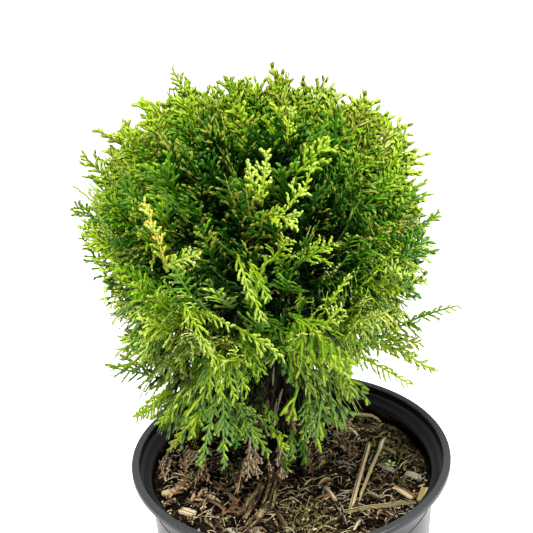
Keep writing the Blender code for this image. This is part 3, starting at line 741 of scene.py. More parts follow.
def shootBodies(shoots, pairs, taper):
    # closed three-sided scaly bodies of all shoots at once: low edge, ridge, low edge
    corners = 3
    start, bend, end, normal, width, tone = shoots.gathered()
    at, wide = scaleProfile(pairs)
    count, rings = len(start), len(at)
    rows = [start[:, None], bend[:, None], end[:, None]]
    line, ahead = bowAt(rows, at[None, :, None]), bowAhead(rows, at[None, :, None])
    side = unit(np.cross(normal[:, None], ahead))
    over = np.cross(ahead, side)
    half = 0.5 * width[:, None] * wide[None, :] * (1.0 - taper * at[None, :])
    half = half[..., None]
    low = over * half * 0.12
    ring = [line - side * half - low, line + over * half * 0.2, line + side * half - low]
    body = np.stack(ring, axis=2).reshape(count, rings * corners, 3)
    points = np.concatenate([body, end[:, None]], axis=1)
    each = rings * corners + 1
    quads = ringFaces(rings, corners)
    here = np.arange(corners)
    last = (rings - 1) * corners
    tips = np.stack([last + here, np.full(corners, each - 1), last + (here + 1) % corners], axis=1)
    shift = (np.arange(count) * each)[:, None, None]
    allQuads = (quads[None] + shift).reshape(-1, 4)
    roots = (here[None, None, :] + shift).reshape(-1, 3)
    allTips = np.concatenate([(tips[None] + shift).reshape(-1, 3), roots])
    tones = tone.astype(int)
    triTones = np.concatenate([np.repeat(tones, len(tips)), tones])
    return points.reshape(-1, 3), allQuads, allTips, np.repeat(tones, len(quads)), triTones


def ladderTone(level, rule, special=None):
    # levels are steps up the ladder of greens, with a little chance
    level = np.asarray(level, float) + rule.normal(0.0, shootLook["toneSwing"], np.shape(level))
    numbers = ladderNumbers[np.clip(np.round(level), 0, len(ladderNumbers) - 1).astype(int)]
    if special is None:
        return numbers
    chance = rule.random(np.shape(level)) < special[1]
    given = np.array([toneNames.index(name) for name in special[0]])
    return np.where(chance, given[rule.integers(len(given), size=np.shape(level))], numbers)


def touching(points):
    # true where a point comes too near the soil, the lip or the wall
    points = np.atleast_2d(points)
    away = np.hypot(points[:, 0], points[:, 1])
    inPot = points[:, 2] < potLook["height"] + crown["keepOff"]
    atWall = inPot & (away > potLook["neck"] - crown["keepOffWall"])
    return (points[:, 2] < soilLook["top"] + crown["keepOff"]) | atWall


def growSpray(book, route, flatSide, kind, width, level, rule, special=None, cones=0.0, fine=1.0):
    # book: the shoots of a mass, sorted by size. level: tone at the root and at the tip
    look, shared = sprayKinds[kind], shootLook
    step, lobeStep = look["step"] * fine, look["lobeStep"] * fine
    along = unit(route[2] - route[0])
    across = unit(flatSide - along * (flatSide @ along))
    normal = np.cross(along, across)
    book["axis"].add(*route, normal, look["axisWidth"] * fine, ladderTone([level[0] + 0.5], rule, special))
    count = max(4, int(curveLength(route) / step))
    share = (np.arange(count) + 0.6 + rule.uniform(-0.3, 0.3, count)) / (count + 0.45)
    keep = (rule.random(count) > look["gaps"]) & (share > look["bare"])
    hand = np.where(np.arange(count) % 2, 1.0, -1.0)[keep][:, None]
    share = share[keep]
    count = len(share)
    axis = [np.broadcast_to(p, (count, 3)) for p in route]
    root, on = bowAt(axis, share[:, None]), bowAhead(axis, share[:, None])
    turn = (rule.normal(0.0, look["twist"]) * share + rule.normal(0.0, look["uneven"], count))[:, None]
    out = across * np.cos(turn) + normal * np.sin(turn)
    out = unit(out - on * (out * on).sum(axis=1, keepdims=True)) * hand
    over = np.cross(on, out) * hand
    opened = np.radians(look["open"] + rule.normal(0.0, shared["openSwing"], count))[:, None]
    closed = np.radians(look["close"] + rule.normal(0.0, shared["closeSwing"], count))[:, None]
    shape = np.sin(math.pi * (0.25 + 0.71 * share)) ** 0.8      # widest a third of the way up
    reach = shared["reach"] * width * shape * rule.uniform(*shared["unevenReach"], count)
    reach *= np.where(rule.random(count) < look["long"], shared["longer"], 1.0)
    reach = np.clip(reach[:, None] / np.sin(opened), shared["shortest"], shared["longest"])
    first = on * np.cos(opened) + out * np.sin(opened)
    later = on * np.cos(closed) + out * np.sin(closed)
    bend = root + first * (0.5 * reach)
    end = root + unit(first + later) * reach - over * (look["cup"] * reach)
    end[:, 2] -= (look["sag"] * reach * (0.5 + reach / 0.02))[:, 0]
    tone = mix(level[0], level[1], share)
    free = ~(touching(end) | touching(bend))
    widths = look["sideWidth"] * fine * mix(1.0, 0.85, share[free])
    book["lobe" if kind == "inner" else "side"].add(
        root[free], bend[free], end[free], over[free], widths, ladderTone(tone[free], rule, special))
    lobes = (reach[:, 0] / lobeStep - 0.6 + rule.uniform(-0.4, 0.4, count)).astype(int)
    lobes = np.maximum(0, lobes) * free
    if lobes.any():
        sides = {"rows": (root, bend, end), "over": over, "hand": hand, "reach": reach[:, 0],
                 "tone": tone, "lobes": lobes}
        growLobes(book, sides, look, fine, rule, special, cones)


def growLobes(book, sides, look, fine, rule, special, cones):
    # lobes of the side shoots, again left and right by turns, and the buds on them
    shared, lobes = shootLook, sides["lobes"]
    index = np.repeat(np.arange(len(lobes)), lobes)
    count = len(index)
    order = np.arange(count) - np.repeat(np.cumsum(lobes) - lobes, lobes)
    at = (order + 0.85 + rule.uniform(-0.2, 0.2, count)) / (lobes[index] + 0.6)
    rows = [points[index] for points in sides["rows"]]
    spot, way, over = bowAt(rows, at[:, None]), bowAhead(rows, at[:, None]), sides["over"][index]
    hand = np.where(order % 2, 1.0, -1.0)[:, None] * sides["hand"][index]
    spread = np.radians(rule.normal(shared["lobeAngle"], shared["lobeSwing"], count))[:, None]
    sideways = unit(np.cross(over, way)) * hand
    size = look["lobe"] * fine * (1.0 - 0.35 * at) * rule.uniform(0.7, 1.2, count)
    size = size * np.minimum(1.0, sides["reach"][index] / shared["shortFrom"])   # short on short shoots
    size = np.maximum(size, shared["lobeLeast"] * fine)[:, None]
    turned = way * np.cos(spread) + sideways * np.sin(spread)
    nod = over * rule.uniform(-look["nod"], 0.5 * look["nod"], (count, 1))
    bend = spot + turned * (0.5 * size)
    end = spot + unit(turned + way * 0.45 + nod) * size
    end[:, 2] -= look["sag"] * 0.6 * size[:, 0]
    free = ~touching(end)
    tones = ladderTone(sides["tone"][index] + 0.5 * at, rule, special)
    widths = look["lobeWidth"] * fine * mix(1.0, 0.88, at[free])
    book["lobe"].add(spot[free], bend[free], end[free], over[free], widths, tones[free])
    bearing = free & (rule.random(count) < cones)
    for bud, ahead in zip(end[bearing], unit(end - bend)[bearing]):
        budSize = rule.uniform(*shared["budSize"])
        book["cones"].append((bud, ahead, budSize, int(rule.random() < shared["brownBuds"])))


def newBook():
    return {"axis": Shoots(), "side": Shoots(), "lobe": Shoots(), "cones": []}


def sprayAims(count, offset):
    # ways spread evenly over the ball but for its foot, round and round by the golden turn
    for k in range(count):
        angle = math.degrees(math.asin(1.0 - 2.0 * (k + 0.5) / count))
        if angle > crown["lowest"]:
            yield aimAt(360.0 * golden * (k + offset), angle)


def skirtAims(count, top, lowest):
    for k in range(count):
        yield aimAt(360.0 * golden * (k + 0.5), mix(top, lowest, (k + 0.5) / count))


# Layers from the outside in: how many, where round the golden turn, reach as shares of the crown's.
crownLayers = {
    "outer": {"count": 224, "turn": 0.0, "reach": (0.89, 0.99), "length": 0.041, "width": 0.0165},
    "between": {"count": 330, "turn": 0.37, "reach": (0.78, 0.93), "length": 0.038, "width": 0.020},
    "inner": {"count": 246, "turn": 0.71, "reach": (0.55, 0.76), "length": 0.044, "width": 0.038},
    "core": {"count": 112, "turn": 0.15, "reach": (0.30, 0.54), "length": 0.034, "width": 0.036},
    "under": {"count": 84, "angles": (-38.0, -84.0), "reach": (0.46, 0.88), "length": 0.040,
              "width": 0.034},
}
innerLayers = ("inner", "core", "under")
outerLayers = ("outer", "between")
skirtLook = {"count": 36, "angles": (-46.0, -84.0), "reach": (0.80, 1.0), "width": 0.022, "tufts": 500}
companionLook = {"most": 2, "apart": 0.10, "reach": (0.85, 0.945)}     # sprays beside an outer one

# Single sprays that stand out: root and tip in millimetres, width, kind, tone level, special tone if any.
singleSprays = (
    ((-10, -89, 423), (9, -109, 429), 15, "lobed", 6.6),
    ((-11, -82, 427), (-6, -84, 461), 9, "lobed", 6.8),
    ((-12, -85, 430), (-18, -89, 457), 7, "lobed", 6.6),
    ((8, -73, 441), (29, -74, 460), 15, "lobed", 5.6),
    ((5, -57, 455), (8, -58, 477), 9, "lobed", 6.2),
    ((12, -84, 432), (19, -86, 453), 5, "plain", 6.0),
    ((4, -89, 428), (13, -95, 442), 8, "lobed", 6.4),
    ((-66, -86, 391), (-76, -87, 436), 8, "lobed", 6.6, "gold"),
    ((-68, -89, 395), (-44, -112, 412), 11, "lobed", 6.4),
    ((-25, -102, 407), (-18, -119, 386), 8, "comb", 6.8),
    ((-19, -103, 403), (-8, -118, 385), 7, "comb", 6.2),
    ((-20, -103, 389), (-12, -118, 372), 9, "comb", 6.4),
    ((-58, -93, 375), (-39, -111, 339), 8, "comb", 6.8),
    ((-55, -91, 370), (-29, -109, 365), 9, "comb", 6.0),
    ((-44, -90, 339), (-46, -104, 319), 4, "comb", 5.4),
    ((-40, -92, 338), (-39, -106, 316), 4, "comb", 5.8),
    ((-36, -93, 337), (-31, -106, 315), 4, "comb", 5.6),
    ((-33, -94, 341), (-23, -106, 320), 5, "comb", 5.4),
    ((-52, -87, 347), (-35, -103, 338), 9, "comb", 5.8),
    ((-29, -102, 363), (-1, -119, 349), 8, "plain", 6.3),
    ((2, -99, 368), (20, -110, 358), 9, "lobed", 5.2),
    ((17, -104, 358), (33, -113, 334), 9, "lobed", 5.8),
    ((6, -98, 362), (25, -108, 364), 9, "comb", 4.8),
    ((5, -103, 364), (2, -111, 350), 5, "finger", 5.0),
    ((10, -104, 361), (8, -112, 344), 5, "finger", 5.4),
    ((15, -105, 357), (13, -113, 343), 5, "finger", 5.2),
    ((20, -106, 355), (21, -113, 344), 5, "finger", 5.4),
    ((25, -107, 352), (26, -112, 339), 5, "finger", 5.6),
    ((29, -107, 350), (31, -112, 336), 5, "finger", 6.0),
    ((33, -107, 347), (37, -111, 338), 5, "finger", 5.8),
    ((-13, -92, 362), (6, -104, 352), 13, "comb", 4.6),
    ((-27, -90, 350), (-15, -102, 331), 12, "comb", 4.8),
    ((-23, -88, 353), (0, -98, 343), 12, "comb", 4.2),
    ((20, -97, 355), (32, -113, 378), 10, "lobed", 6.6),
    ((25, -102, 374), (37, -108, 395), 4, "plain", 5.8),
    ((-8, -99, 399), (5, -112, 419), 14, "plain", 5.4),
    ((8, -98, 398), (29, -106, 413), 13, "plain", 5.4),
    ((-48, 30, 441), (-67, 45, 478), 10, "lobed", 5.6),
    ((-97, 10, 397), (-128, 23, 430), 14, "lobed", 5.6),
    ((-100, -1, 371), (-134, 10, 400), 14, "plain", 4.6),
    ((-100, -19, 329), (-131, 3, 382), 14, "comb", 4.2),
    ((-82, -34, 293), (-116, -31, 301), 14, "comb", 4.6),
    ((-68, -52, 290), (-100, -44, 270), 12, "comb", 5.4),
    ((65, 19, 412), (84, 29, 435), 12, "lobed", 5.0),
    ((73, 0, 366), (105, 8, 386), 9, "lobed", 4.6),
    ((60, -22, 314), (88, -20, 320), 13, "comb", 4.8),
    ((76, -21, 319), (114, -14, 328), 10, "comb", 5.2),
    ((46, -26, 318), (97, -33, 289), 11, "lobed", 6.4),
    ((-83, -36, 321), (-108, -28, 321), 12, "comb", 5.2),
    ((-80, -38, 312), (-104, -34, 312), 12, "plain", 5.4),
    ((42, -46, 312), (80, -40, 284), 12, "comb", 6.3),
    ((48, -34, 318), (88, -30, 309), 13, "plain", 5.4),
    ((-43, -62, 300), (-57, -77, 251), 8, "lobed", 5.4, "sage"),
    ((-41, -62, 298), (-42, -79, 250), 10, "lobed", 5.2, "sage"),
    ((-40, -62, 294), (-33, -73, 262), 9, "lobed", 5.3, "blue"),
    ((-39, -60, 291), (-15, -67, 278), 6, "plain", 5.8, "sage"),
    ((-35, -60, 288), (-13, -73, 256), 10, "lobed", 5.4, "sage"),
    ((8, -40, 255), (9, -48, 231), 9, "lobed", 4.4, "blue"),
    ((7, -54, 297), (-1, -71, 278), 11, "finger", 5.8),
    ((1, -50, 263), (1, -58, 241), 6, "lobed", 4.8, "sage"),
    ((21, -50, 283), (16, -66, 256), 12, "finger", 5.6, "sage"),
    ((19, -47, 291), (37, -60, 275), 15, "finger", 5.0, "sage"),
    ((36, -40, 294), (53, -46, 275), 12, "finger", 5.4, "sage"),
    ((-58, -60, 281), (-76, -70, 261), 8, "lobed", 5.0, "olive"),
    ((-73, -50, 294), (-98, -56, 277), 12, "comb", 5.8),
    ((-65, -56, 292), (-84, -64, 276), 10, "comb", 5.6),
    ((-88, -30, 303), (-115, -30, 300), 16, "finger", 5.4, "sage"),
    ((-30, -57, 292), (-27, -70, 266), 9, "lobed", 5.0, "sage"),
    ((-52, -58, 298), (-62, -71, 269), 9, "lobed", 5.4),
    ((11, -51, 286), (10, -64, 261), 9, "plain", 5.2, "sage"),
    ((31, -60, 315), (39, -70, 295), 12, "comb", 5.6),
    ((-19, -50, 267), (-3, -58, 260), 8, "comb", 5.0),
    ((-13, -52, 264), (-2, -60, 250), 7, "lobed", 6.2),
    ((-17, -60, 287), (-8, -66, 277), 8, "comb", 4.4),
    # dark sprays low behind the trunk: their low tone levels are painted shade in the hollow under the
    # crown
    ((2, 25, 294), (2, 46, 250), 22, "plain", 2.4),
    ((-8, 28, 292), (-16, 48, 246), 22, "plain", 2.6),
    ((10, 30, 294), (17, 50, 250), 20, "plain", 2.2),
    ((-22, 26, 288), (-31, 46, 244), 20, "plain", 2.4),
    ((-36, 24, 290), (-46, 42, 250), 20, "plain", 2.6),
)


def sprayPlan():
    # every spray but the single ones: direction, reach of its tip, layer, tuft it belongs to
    chance = random.Random(7)
    plan = []
    for layer, sizes in crownLayers.items():
        if "angles" in sizes:
            aims = skirtAims(sizes["count"], *sizes["angles"])
        else:
            aims = sprayAims(sizes["count"], sizes["turn"])
        for number, aim in enumerate(aims):
            plan.append((aim, crownReach(aim) * chance.uniform(*sizes["reach"]), layer, number))
            if layer != "outer":
                continue
            for _ in range(chance.randint(1, companionLook["most"])):
                apart = np.array([chance.gauss(0.0, companionLook["apart"]) for _ in range(3)])
                beside = unit(aim + apart)
                reach = crownReach(beside) * chance.uniform(*companionLook["reach"])
                plan.append((beside, reach, layer, number))
    for number, aim in enumerate(skirtAims(skirtLook["count"], *skirtLook["angles"])):
        if aim[1] > -0.35 * math.hypot(aim[0], aim[1]):     # the front is left to the single sprays
            reach = crownReach(aim) * chance.uniform(*skirtLook["reach"])
            plan.append((aim, reach, "outer", skirtLook["tufts"] + number))
    return [row for row in plan if not leftOpen(row[0], row[2]) and not overWall(row[0] * row[1])]


def overWall(reach):
    # true for a spray that would end low over the pot's wall
    tip = crown["centre"] + reach
    low = tip[2] < potLook["height"] + crown["wallRise"]
    return low and math.hypot(tip[0], tip[1]) > crown["wallReach"]


# Left open low in front: range of the way's x and of its z, layers left out there.
openPlaces = (
    ((-0.10, 0.18), (-1.1, -0.42), tuple(crownLayers)),     # a gap where the stem stays in sight
    ((-0.34, 0.20), (-1.1, -0.76), outerLayers),            # the places of the single sprays
    ((0.08, 0.46), (-0.62, -0.10), ("outer",)),
)


def leftOpen(aim, layer):
    for across, high, layers in openPlaces:
        inside = across[0] < aim[0] < across[1] and high[0] < aim[2] < high[1]
        if inside and aim[1] < 0.0 and layer in layers:
            return True
    return False


# Ways of the sprays: shares of the way out of the ball, of the way out in plan and of the way up.
routeLook = {
    "risesFrom": (-0.50, -0.02), "riseOut": 0.68, "riseUp": 0.56, "riseUpInFront": 0.30,
    "hangOut": 0.7, "hangFlat": 0.2, "hangDown": 0.4, "chance": 0.14,
}


def sprayRoute(aim, tip, length, rule):
    # curve of a spray up to its tip: rising on the top and flanks, hanging underneath
    look = routeLook
    up = np.array((0.0, 0.0, 1.0))
    flat = unit(np.array((aim[0], aim[1], 0.0)) + 1e-9)
    rise = float(easeStep(*look["risesFrom"], aim[2]))
    rising = unit(aim * look["riseOut"] + up * (look["riseUp"] + look["riseUpInFront"] * max(0.0, -aim[1])))
    hanging = unit(aim * look["hangOut"] + flat * look["hangFlat"] - up * look["hangDown"])
    way = unit(mix(hanging, rising, rise) + rule.normal(0.0, look["chance"], 3))
    early = unit(way + aim * 0.5 + flat * 0.5 * (1.0 - rise) - up * 0.25 * rise)
    bend = tip - way * (0.5 * length)
    return [bend - early * (0.5 * length), bend, tip]


# Levels up the ladder of greens, by place on the ball. Most of them are painted light and shade: lighter on
# the top, the flanks and the tips of low sprays, darker in front, on the face and brow, in the between
# layer and in the inner, core and under layers; chance spreads the rest.
toneLook = {
    "deep": (0.0, 0.6), "inner": (0.2, 1.1), "base": 4.45, "top": 0.1, "flanks": 1.0, "front": -0.8,
    "rightFlankLight": 0.6, "low": 0.5, "face": -1.45, "brow": -0.6, "between": -1.4, "betweenFlanksLight": 0.7,
    "chance": 0.80, "topChance": -0.35, "root": -1.0, "tip": 0.7, "lowTipHighlight": 0.8,
}


def sprayTones(aim, layer, tuft):
    # levels at the root and the tip, and a special tone for some tufts; the levels hold painted light and
    # shade by place on the crown
    look = toneLook
    # inner, core and under sprays take the darkest greens: painted shade inside the crown
    if layer in innerLayers:
        return look["inner" if layer == "inner" else "deep"], None
    x, y, z = aim
    # lighter on the top, the flanks, the right flank and low down, darker in front: painted light and shade
    base = look["base"] + look["top"] * max(0.0, z) + look["flanks"] * abs(x) + look["front"] * max(0.0, -y)
    base += look["rightFlankLight"] * max(0.0, x) * (z < 0.25) + look["low"] * (z < -0.25)
    brow = z > 0.4 and abs(x) < 0.5  # the shaded brow of the dome
    # darker on the front face, more so on its brow: painted shade
    base += (look["face"] + look["brow"] * brow) * float(easeStep(0.1, 0.4, -y)) * (0.15 < z < 0.88)
    base += tuft.normal(0.0, look["chance"] + look["topChance"] * float(easeStep(0.1, 0.6, z)))
    # the between layer is darker, less so at the flanks: painted shade between the outer sprays
    if layer == "between":
        base += look["between"] + look["betweenFlanksLight"] * float(easeStep(0.25, 0.75, abs(x))) * (z > -0.5)
    special = None
    draw = tuft.random()
    if (z < 0.2 and draw < 0.20) or (z < -0.3 and draw < 0.48):
        special = (("blue", "sage", "sage"), 0.6)
    elif z > 0.3 and draw > 0.5:
        special = (("olive",), 0.38)
    elif x < 0.3 and z < 0.2 and draw > 0.93:
        special = (("olive",) if draw > 0.94 else ("gold",), 0.4)
    # the tips of low sprays step further up: a painted highlight
    return (base + look["root"], base + look["tip"] + look["lowTipHighlight"] * (z < 0.0)), special


def nearestMass(masses, spot):
    aim = unit(spot - crown["centre"])
    return max(masses, key=lambda key: float(np.dot(masses[key][0], aim)))


def sprayRoll(aim, layer, rule, tuft):
    # turn about its own length: level in front, upright at the sides, flat underneath
    if layer in outerLayers and -0.5 < aim[2] < 0.9:
        roll = tuft.normal(0.5 * math.pi * float(easeStep(0.25, 0.75, abs(aim[0]))), 0.60)
    elif aim[2] < crown["hangsBelow"]:
        roll = tuft.normal(0.0, 0.5)
    else:
        roll = tuft.uniform(0.0, math.pi)
    return roll + rule.normal(0.0, 0.25)


def sprayKind(aim, layer, tuft):
    # fingers hang underneath, lobed sprays are commonest on the top, combs on the flanks
    draw = tuft.random()
    if layer in innerLayers:
        return "inner"
    if aim[2] < crown["hangsBelow"] and draw < 0.6:
        return "finger"
    if draw < 0.38 + 0.5 * aim[2]:
        return "lobed"
    return "comb" if aim[2] < 0.35 and draw > 0.42 else "plain"


# Share of the shoots that bear a bud, left and right of the front, and between which heights of the way.
budLook = {"left": 0.60, "right": 0.36, "parted": -0.1, "heights": (-0.7, 0.38)}


def budShare(aim, layer, kind):
    low, high = budLook["heights"]
    if layer not in outerLayers or kind == "lobed" or not low < aim[2] < high:
        return 0.0
    return budLook["left"] if aim[0] < budLook["parted"] else budLook["right"]


def growByRule(masses, books, twigs):
    up = np.array((0.0, 0.0, 1.0))
    for number, (aim, reach, layer, group) in enumerate(sprayPlan()):
        rule = np.random.default_rng(1000 + number)
        tuft = np.random.default_rng(20000 + group)     # the same draws for all sprays of a tuft
        sizes = crownLayers[layer]
        tip = crown["centre"] + aim * reach
        route = sprayRoute(aim, tip, sizes["length"] * rule.uniform(0.8, 1.2), rule)
        along = unit(tip - route[0])
        level = unit(np.cross(along, up) + 1e-6)
        roll = sprayRoll(aim, layer, rule, tuft)
        flatSide = level * math.cos(roll) + np.cross(along, level) * math.sin(roll)
        hanging = aim[2] < crown["hangsBelow"]
        width = rule.uniform(0.8, 1.2) * (skirtLook["width"] if hanging else sizes["width"])
        kind = sprayKind(aim, layer, tuft)
        levels, special = sprayTones(aim, layer, tuft)
        buds = budShare(aim, layer, kind)
        name = nearestMass(masses, tip)
        growSpray(books[name], route, flatSide, kind, width, levels, rule, special, buds)
        twigs[name].append(route)


# How the single sprays differ from the others; a kind or tone that isn't named takes the plain value.
singleLook = {
    "towards": np.array((0.0, -0.91, 0.41)), "bow": 0.06, "rootTone": -2.1,
    "chance": 0.8, "chances": {"gold": 0.5}, "buds": 0.08, "budShares": {"comb": 0.4, "plain": 0.4},
    "fine": 0.9, "finer": {"lobed": 0.74, "plain": 0.74},
}


def growSingles(masses, books, twigs):
    look = singleLook
    for number, (root, tip, width, kind, tone, *special) in enumerate(singleSprays):
        rule = np.random.default_rng(5000 + number)
        root, tip = np.array(root) / 1000.0, np.array(tip) / 1000.0
        bow = np.array((0.0, 0.0, look["bow"] * np.linalg.norm(tip - root)))
        flatSide = np.cross(unit(tip - root), look["towards"]) + rule.normal(0.0, 0.15, 3)
        name = nearestMass(masses, tip)
        route = [root, mix(root, tip, 0.5) + bow, tip]
        given = (special, look["chances"].get(special[0], look["chance"])) if special else None
        buds, fine = look["budShares"].get(kind, look["buds"]), look["finer"].get(kind, look["fine"])
        levels = (tone + look["rootTone"], tone)
        growSpray(books[name], route, flatSide, kind, width / 1000.0, levels, rule, given, buds, fine)
        twigs[name].append(route)


def leafFinishes():
    skin = (1500.0, 0.34, 0.52, 0.30, 0.0004)
    return [newFinish("leaf" + name.capitalize(), colour, skin, None, leafGloss.get(name, leafShine))
            for name, colour in leafTones.items()]


budFaces = ((0, 2, 1), (1, 2, 5), (0, 3, 2), (2, 3, 5), (0, 4, 3), (3, 4, 5), (0, 1, 4), (4, 1, 5))


def addBud(heap, spot, way, size, tone):
    # a young cone or bud: a square ring between two points
    across = unit(np.cross(way, np.array((0.3, 0.2, 0.93))))
    other = np.cross(way, across)
    turns = np.linspace(0.0, math.tau, 4, endpoint=False)
    ring = [spot + (across * math.cos(turn) + other * math.sin(turn)) * size for turn in turns]
    heap.add([spot - way * size, *ring, spot + way * 1.2 * size], [], budFaces, tone)


def joinShoots(book):
    heap = Heap()
    for size, (pairs, taper) in shootSizes.items():
        heap.add(*shootBodies(book[size], pairs, taper))
    return heap


def buildFoliage(masses):
    books = {name: newBook() for name in masses}
    twigs = {name: [] for name in masses}
    growByRule(masses, books, twigs)
    growSingles(masses, books, twigs)
    finishes = leafFinishes()
    total = 0
    cones, count = Heap(), 0
    for name in masses:
        leaves = joinShoots(books[name]).piece("leaves_" + name, finishes)
        place(leaves, "foliage", "foliage_" + name)
        total += triangleCount(leaves)
        for cone in books[name]["cones"]:
            if cone[0][2] > soilLook["top"] + crown["keepOff"]:
                addBud(cones, *cone)
                count += 1
    print("foliage grown:", total, "triangles,", count, "cones")
    skin = (1200.0, 0.6, 0.85, 0.4, 0.0004)
    coneFinishes = [newFinish(name, colour, skin, None, 0.2) for name, colour in coneTones.items()]
    place(cones.piece("youngCones", coneFinishes), "foliage")
    buildTwigs(masses, twigs)
    buildDeadSprays(finishes)


twigLook = {"branch": 0.0012, "twig": 0.0006, "sides": 5, "rings": 9, "forks": 5,
            # twig bark tones darkened as painted shade inside the crown
            "dark": (12, 14, 7), "colour": (28, 28, 14), "light": (60, 56, 28)}


def plainTube(route, first, last, sides, rings):
    t = np.linspace(0.0, 1.0, rings)
    line = curveAt(route, t)
    ahead = curveAhead(route, t)
    across = unit(np.cross(ahead, np.array((0.29, 0.41, 0.86))))
    other = np.cross(ahead, across)
    turns = np.linspace(0.0, math.tau, sides, endpoint=False)
    reach = mix(first, last, np.linspace(0.0, 1.0, rings))[:, None, None]
    ring = across[:, None] * np.cos(turns)[None, :, None] + other[:, None] * np.sin(turns)[None, :, None]
    points = np.concatenate([(line[:, None] + ring * reach).reshape(-1, 3), line[:1], line[-1:]])
    return points, ringFaces(rings, sides), tubeCaps(rings, sides)


def buildTwigs(masses, twigs):
    # each bough's tip forks into branches, and every spray grows on a twig from one of them
    look = twigLook
    finish = newFinish("twigBark", look["colour"], (600.0, 0.6, 0.9, 0.6, 0.0005),
                       (look["dark"], look["light"], 380.0, (1.0, 1.0, 0.4)), 0.3)
    heap = Heap()
    for name, rows in twigs.items():
        aim = masses[name][0]
        tip = crown["centre"] + aim * crown["boughEnd"]
        flat = unit(np.cross(aim, np.array((0.13, 0.27, 0.95))))
        other = np.cross(aim, flat)
        fans = {}
        for route in rows:
            way = unit(route[0] - tip)
            turn = math.atan2(way @ other, way @ flat) / math.tau + 0.5
            sector = int(turn * look["forks"]) % look["forks"]
            fans.setdefault(sector, []).append(route)
        for group in fans.values():
            middle = np.mean([route[0] for route in group], axis=0)
            branch = [tip - aim * 0.002, tip + aim * 0.010, mix(tip, middle, 0.8)]
            heap.add(*plainTube(branch, look["branch"] * 1.15, look["branch"] * 0.8,
                                look["sides"], look["rings"]))
            for number, route in enumerate(group):
                foot = curveAt(branch, 0.35 + 0.62 * ((number * golden) % 1.0))
                joint = curveAt(route, 0.06)
                ahead = unit(curveAt(route, 0.25) - route[0])
                twig = [foot, route[0] - ahead * 0.004, joint]
                heap.add(*plainTube(twig, look["twig"], look["twig"] * 0.8, 3, 6))
    piece = heap.piece("twigs", [finish])
    place(piece, "bark")
    print("twigs grown:", triangleCount(piece), "triangles")


# Mulch on the soil: shreds, chips, fibres, crumbs, moss, fallen sprays and a seedling.
mulchTones = {
    "pitch": (5, 4, 3), "earth": (26, 19, 12), "bark": (62, 49, 34), "umber": (98, 79, 54),
    "rosewood": (122, 98, 72), "straw": (194, 178, 130), "tan": (210, 188, 148), "pale": (232, 224, 194),
    "grey": (162, 157, 134), "ochre": (150, 136, 88), "moss": (62, 62, 28), "mossLight": (136, 132, 72),
    "orange": (178, 126, 80),
}
mulchNames = list(mulchTones)
mulchLook = {
    "shreds": 1700, "shredLength": (0.0026, 0.014), "shredWidth": (0.0004, 0.0014),
    "shredThick": (0.0003, 0.0008), "darkGloss": 0.04, "gloss": 0.2,
    "fibres": 1700, "fibreLength": (0.004, 0.015), "fibreWidth": (0.00020, 0.00042),
    "fibreLift": 0.0022, "fibreArch": 0.0018, "fibreGap": 0.0006,
    "offWall": 0.003, "offTrunk": 0.013, "offStem": 0.006,
    "crumbs": 3000, "crumbSize": (0.0004, 0.0013),
    "moss": 2400, "mossLength": (0.0012, 0.0030), "mossWidth": 0.0006,
}
# Moss: centre in plan, spread, share of the sprigs, tones.
mossPatches = (
    (0.078, 0.036, 0.020, 0.55, ("moss", "moss", "mossLight", "earth")),
    (0.010, -0.052, 0.011, 0.33, ("ochre", "mossLight", "umber", "earth", "ochre")),
    (-0.041, 0.003, 0.006, 0.12, ("mossLight", "moss", "straw", "moss")),
)
# Zones in plan: centre, reach, tones; the last one holds everywhere else.
mulchZones = (
    ((0.078, 0.038), 0.042, ("moss", "earth", "mossLight", "mossLight", "umber", "bark", "grey")),
    ((0.010, -0.052), 0.022, ("ochre", "umber", "mossLight", "earth", "pitch", "straw", "bark")),
    ((-0.040, 0.004), 0.012, ("mossLight", "ochre", "moss", "earth")),
    ((-0.075, -0.010), 0.044, ("earth", "pitch", "pitch", "pitch", "umber", "earth", "rosewood", "pitch",
                               "tan", "straw")),
    ((0.045, 0.030), 0.030, ("grey", "umber", "earth", "tan", "bark", "pitch")),
    ((0.0, 0.0), 9.0, ("umber", "rosewood", "bark", "earth", "pitch", "bark", "earth", "pitch", "straw",
                       "bark", "tan", "umber", "pitch", "grey")),
)
# Tones of the splints that a larger bit of wood is made of, by its main tone.
splintTones = {
    "straw": ("straw", "tan", "straw", "rosewood"), "tan": ("tan", "rosewood", "tan", "umber"),
    "ochre": ("ochre", "straw", "ochre", "umber"), "grey": ("grey", "umber", "grey", "grey"),
    "umber": ("umber", "bark", "rosewood", "earth"), "rosewood": ("rosewood", "umber", "tan", "bark"),
    "pale": ("pale", "tan", "pale", "grey"), "orange": ("orange", "tan", "rosewood"),
    "mossLight": ("mossLight", "moss", "ochre"),
}
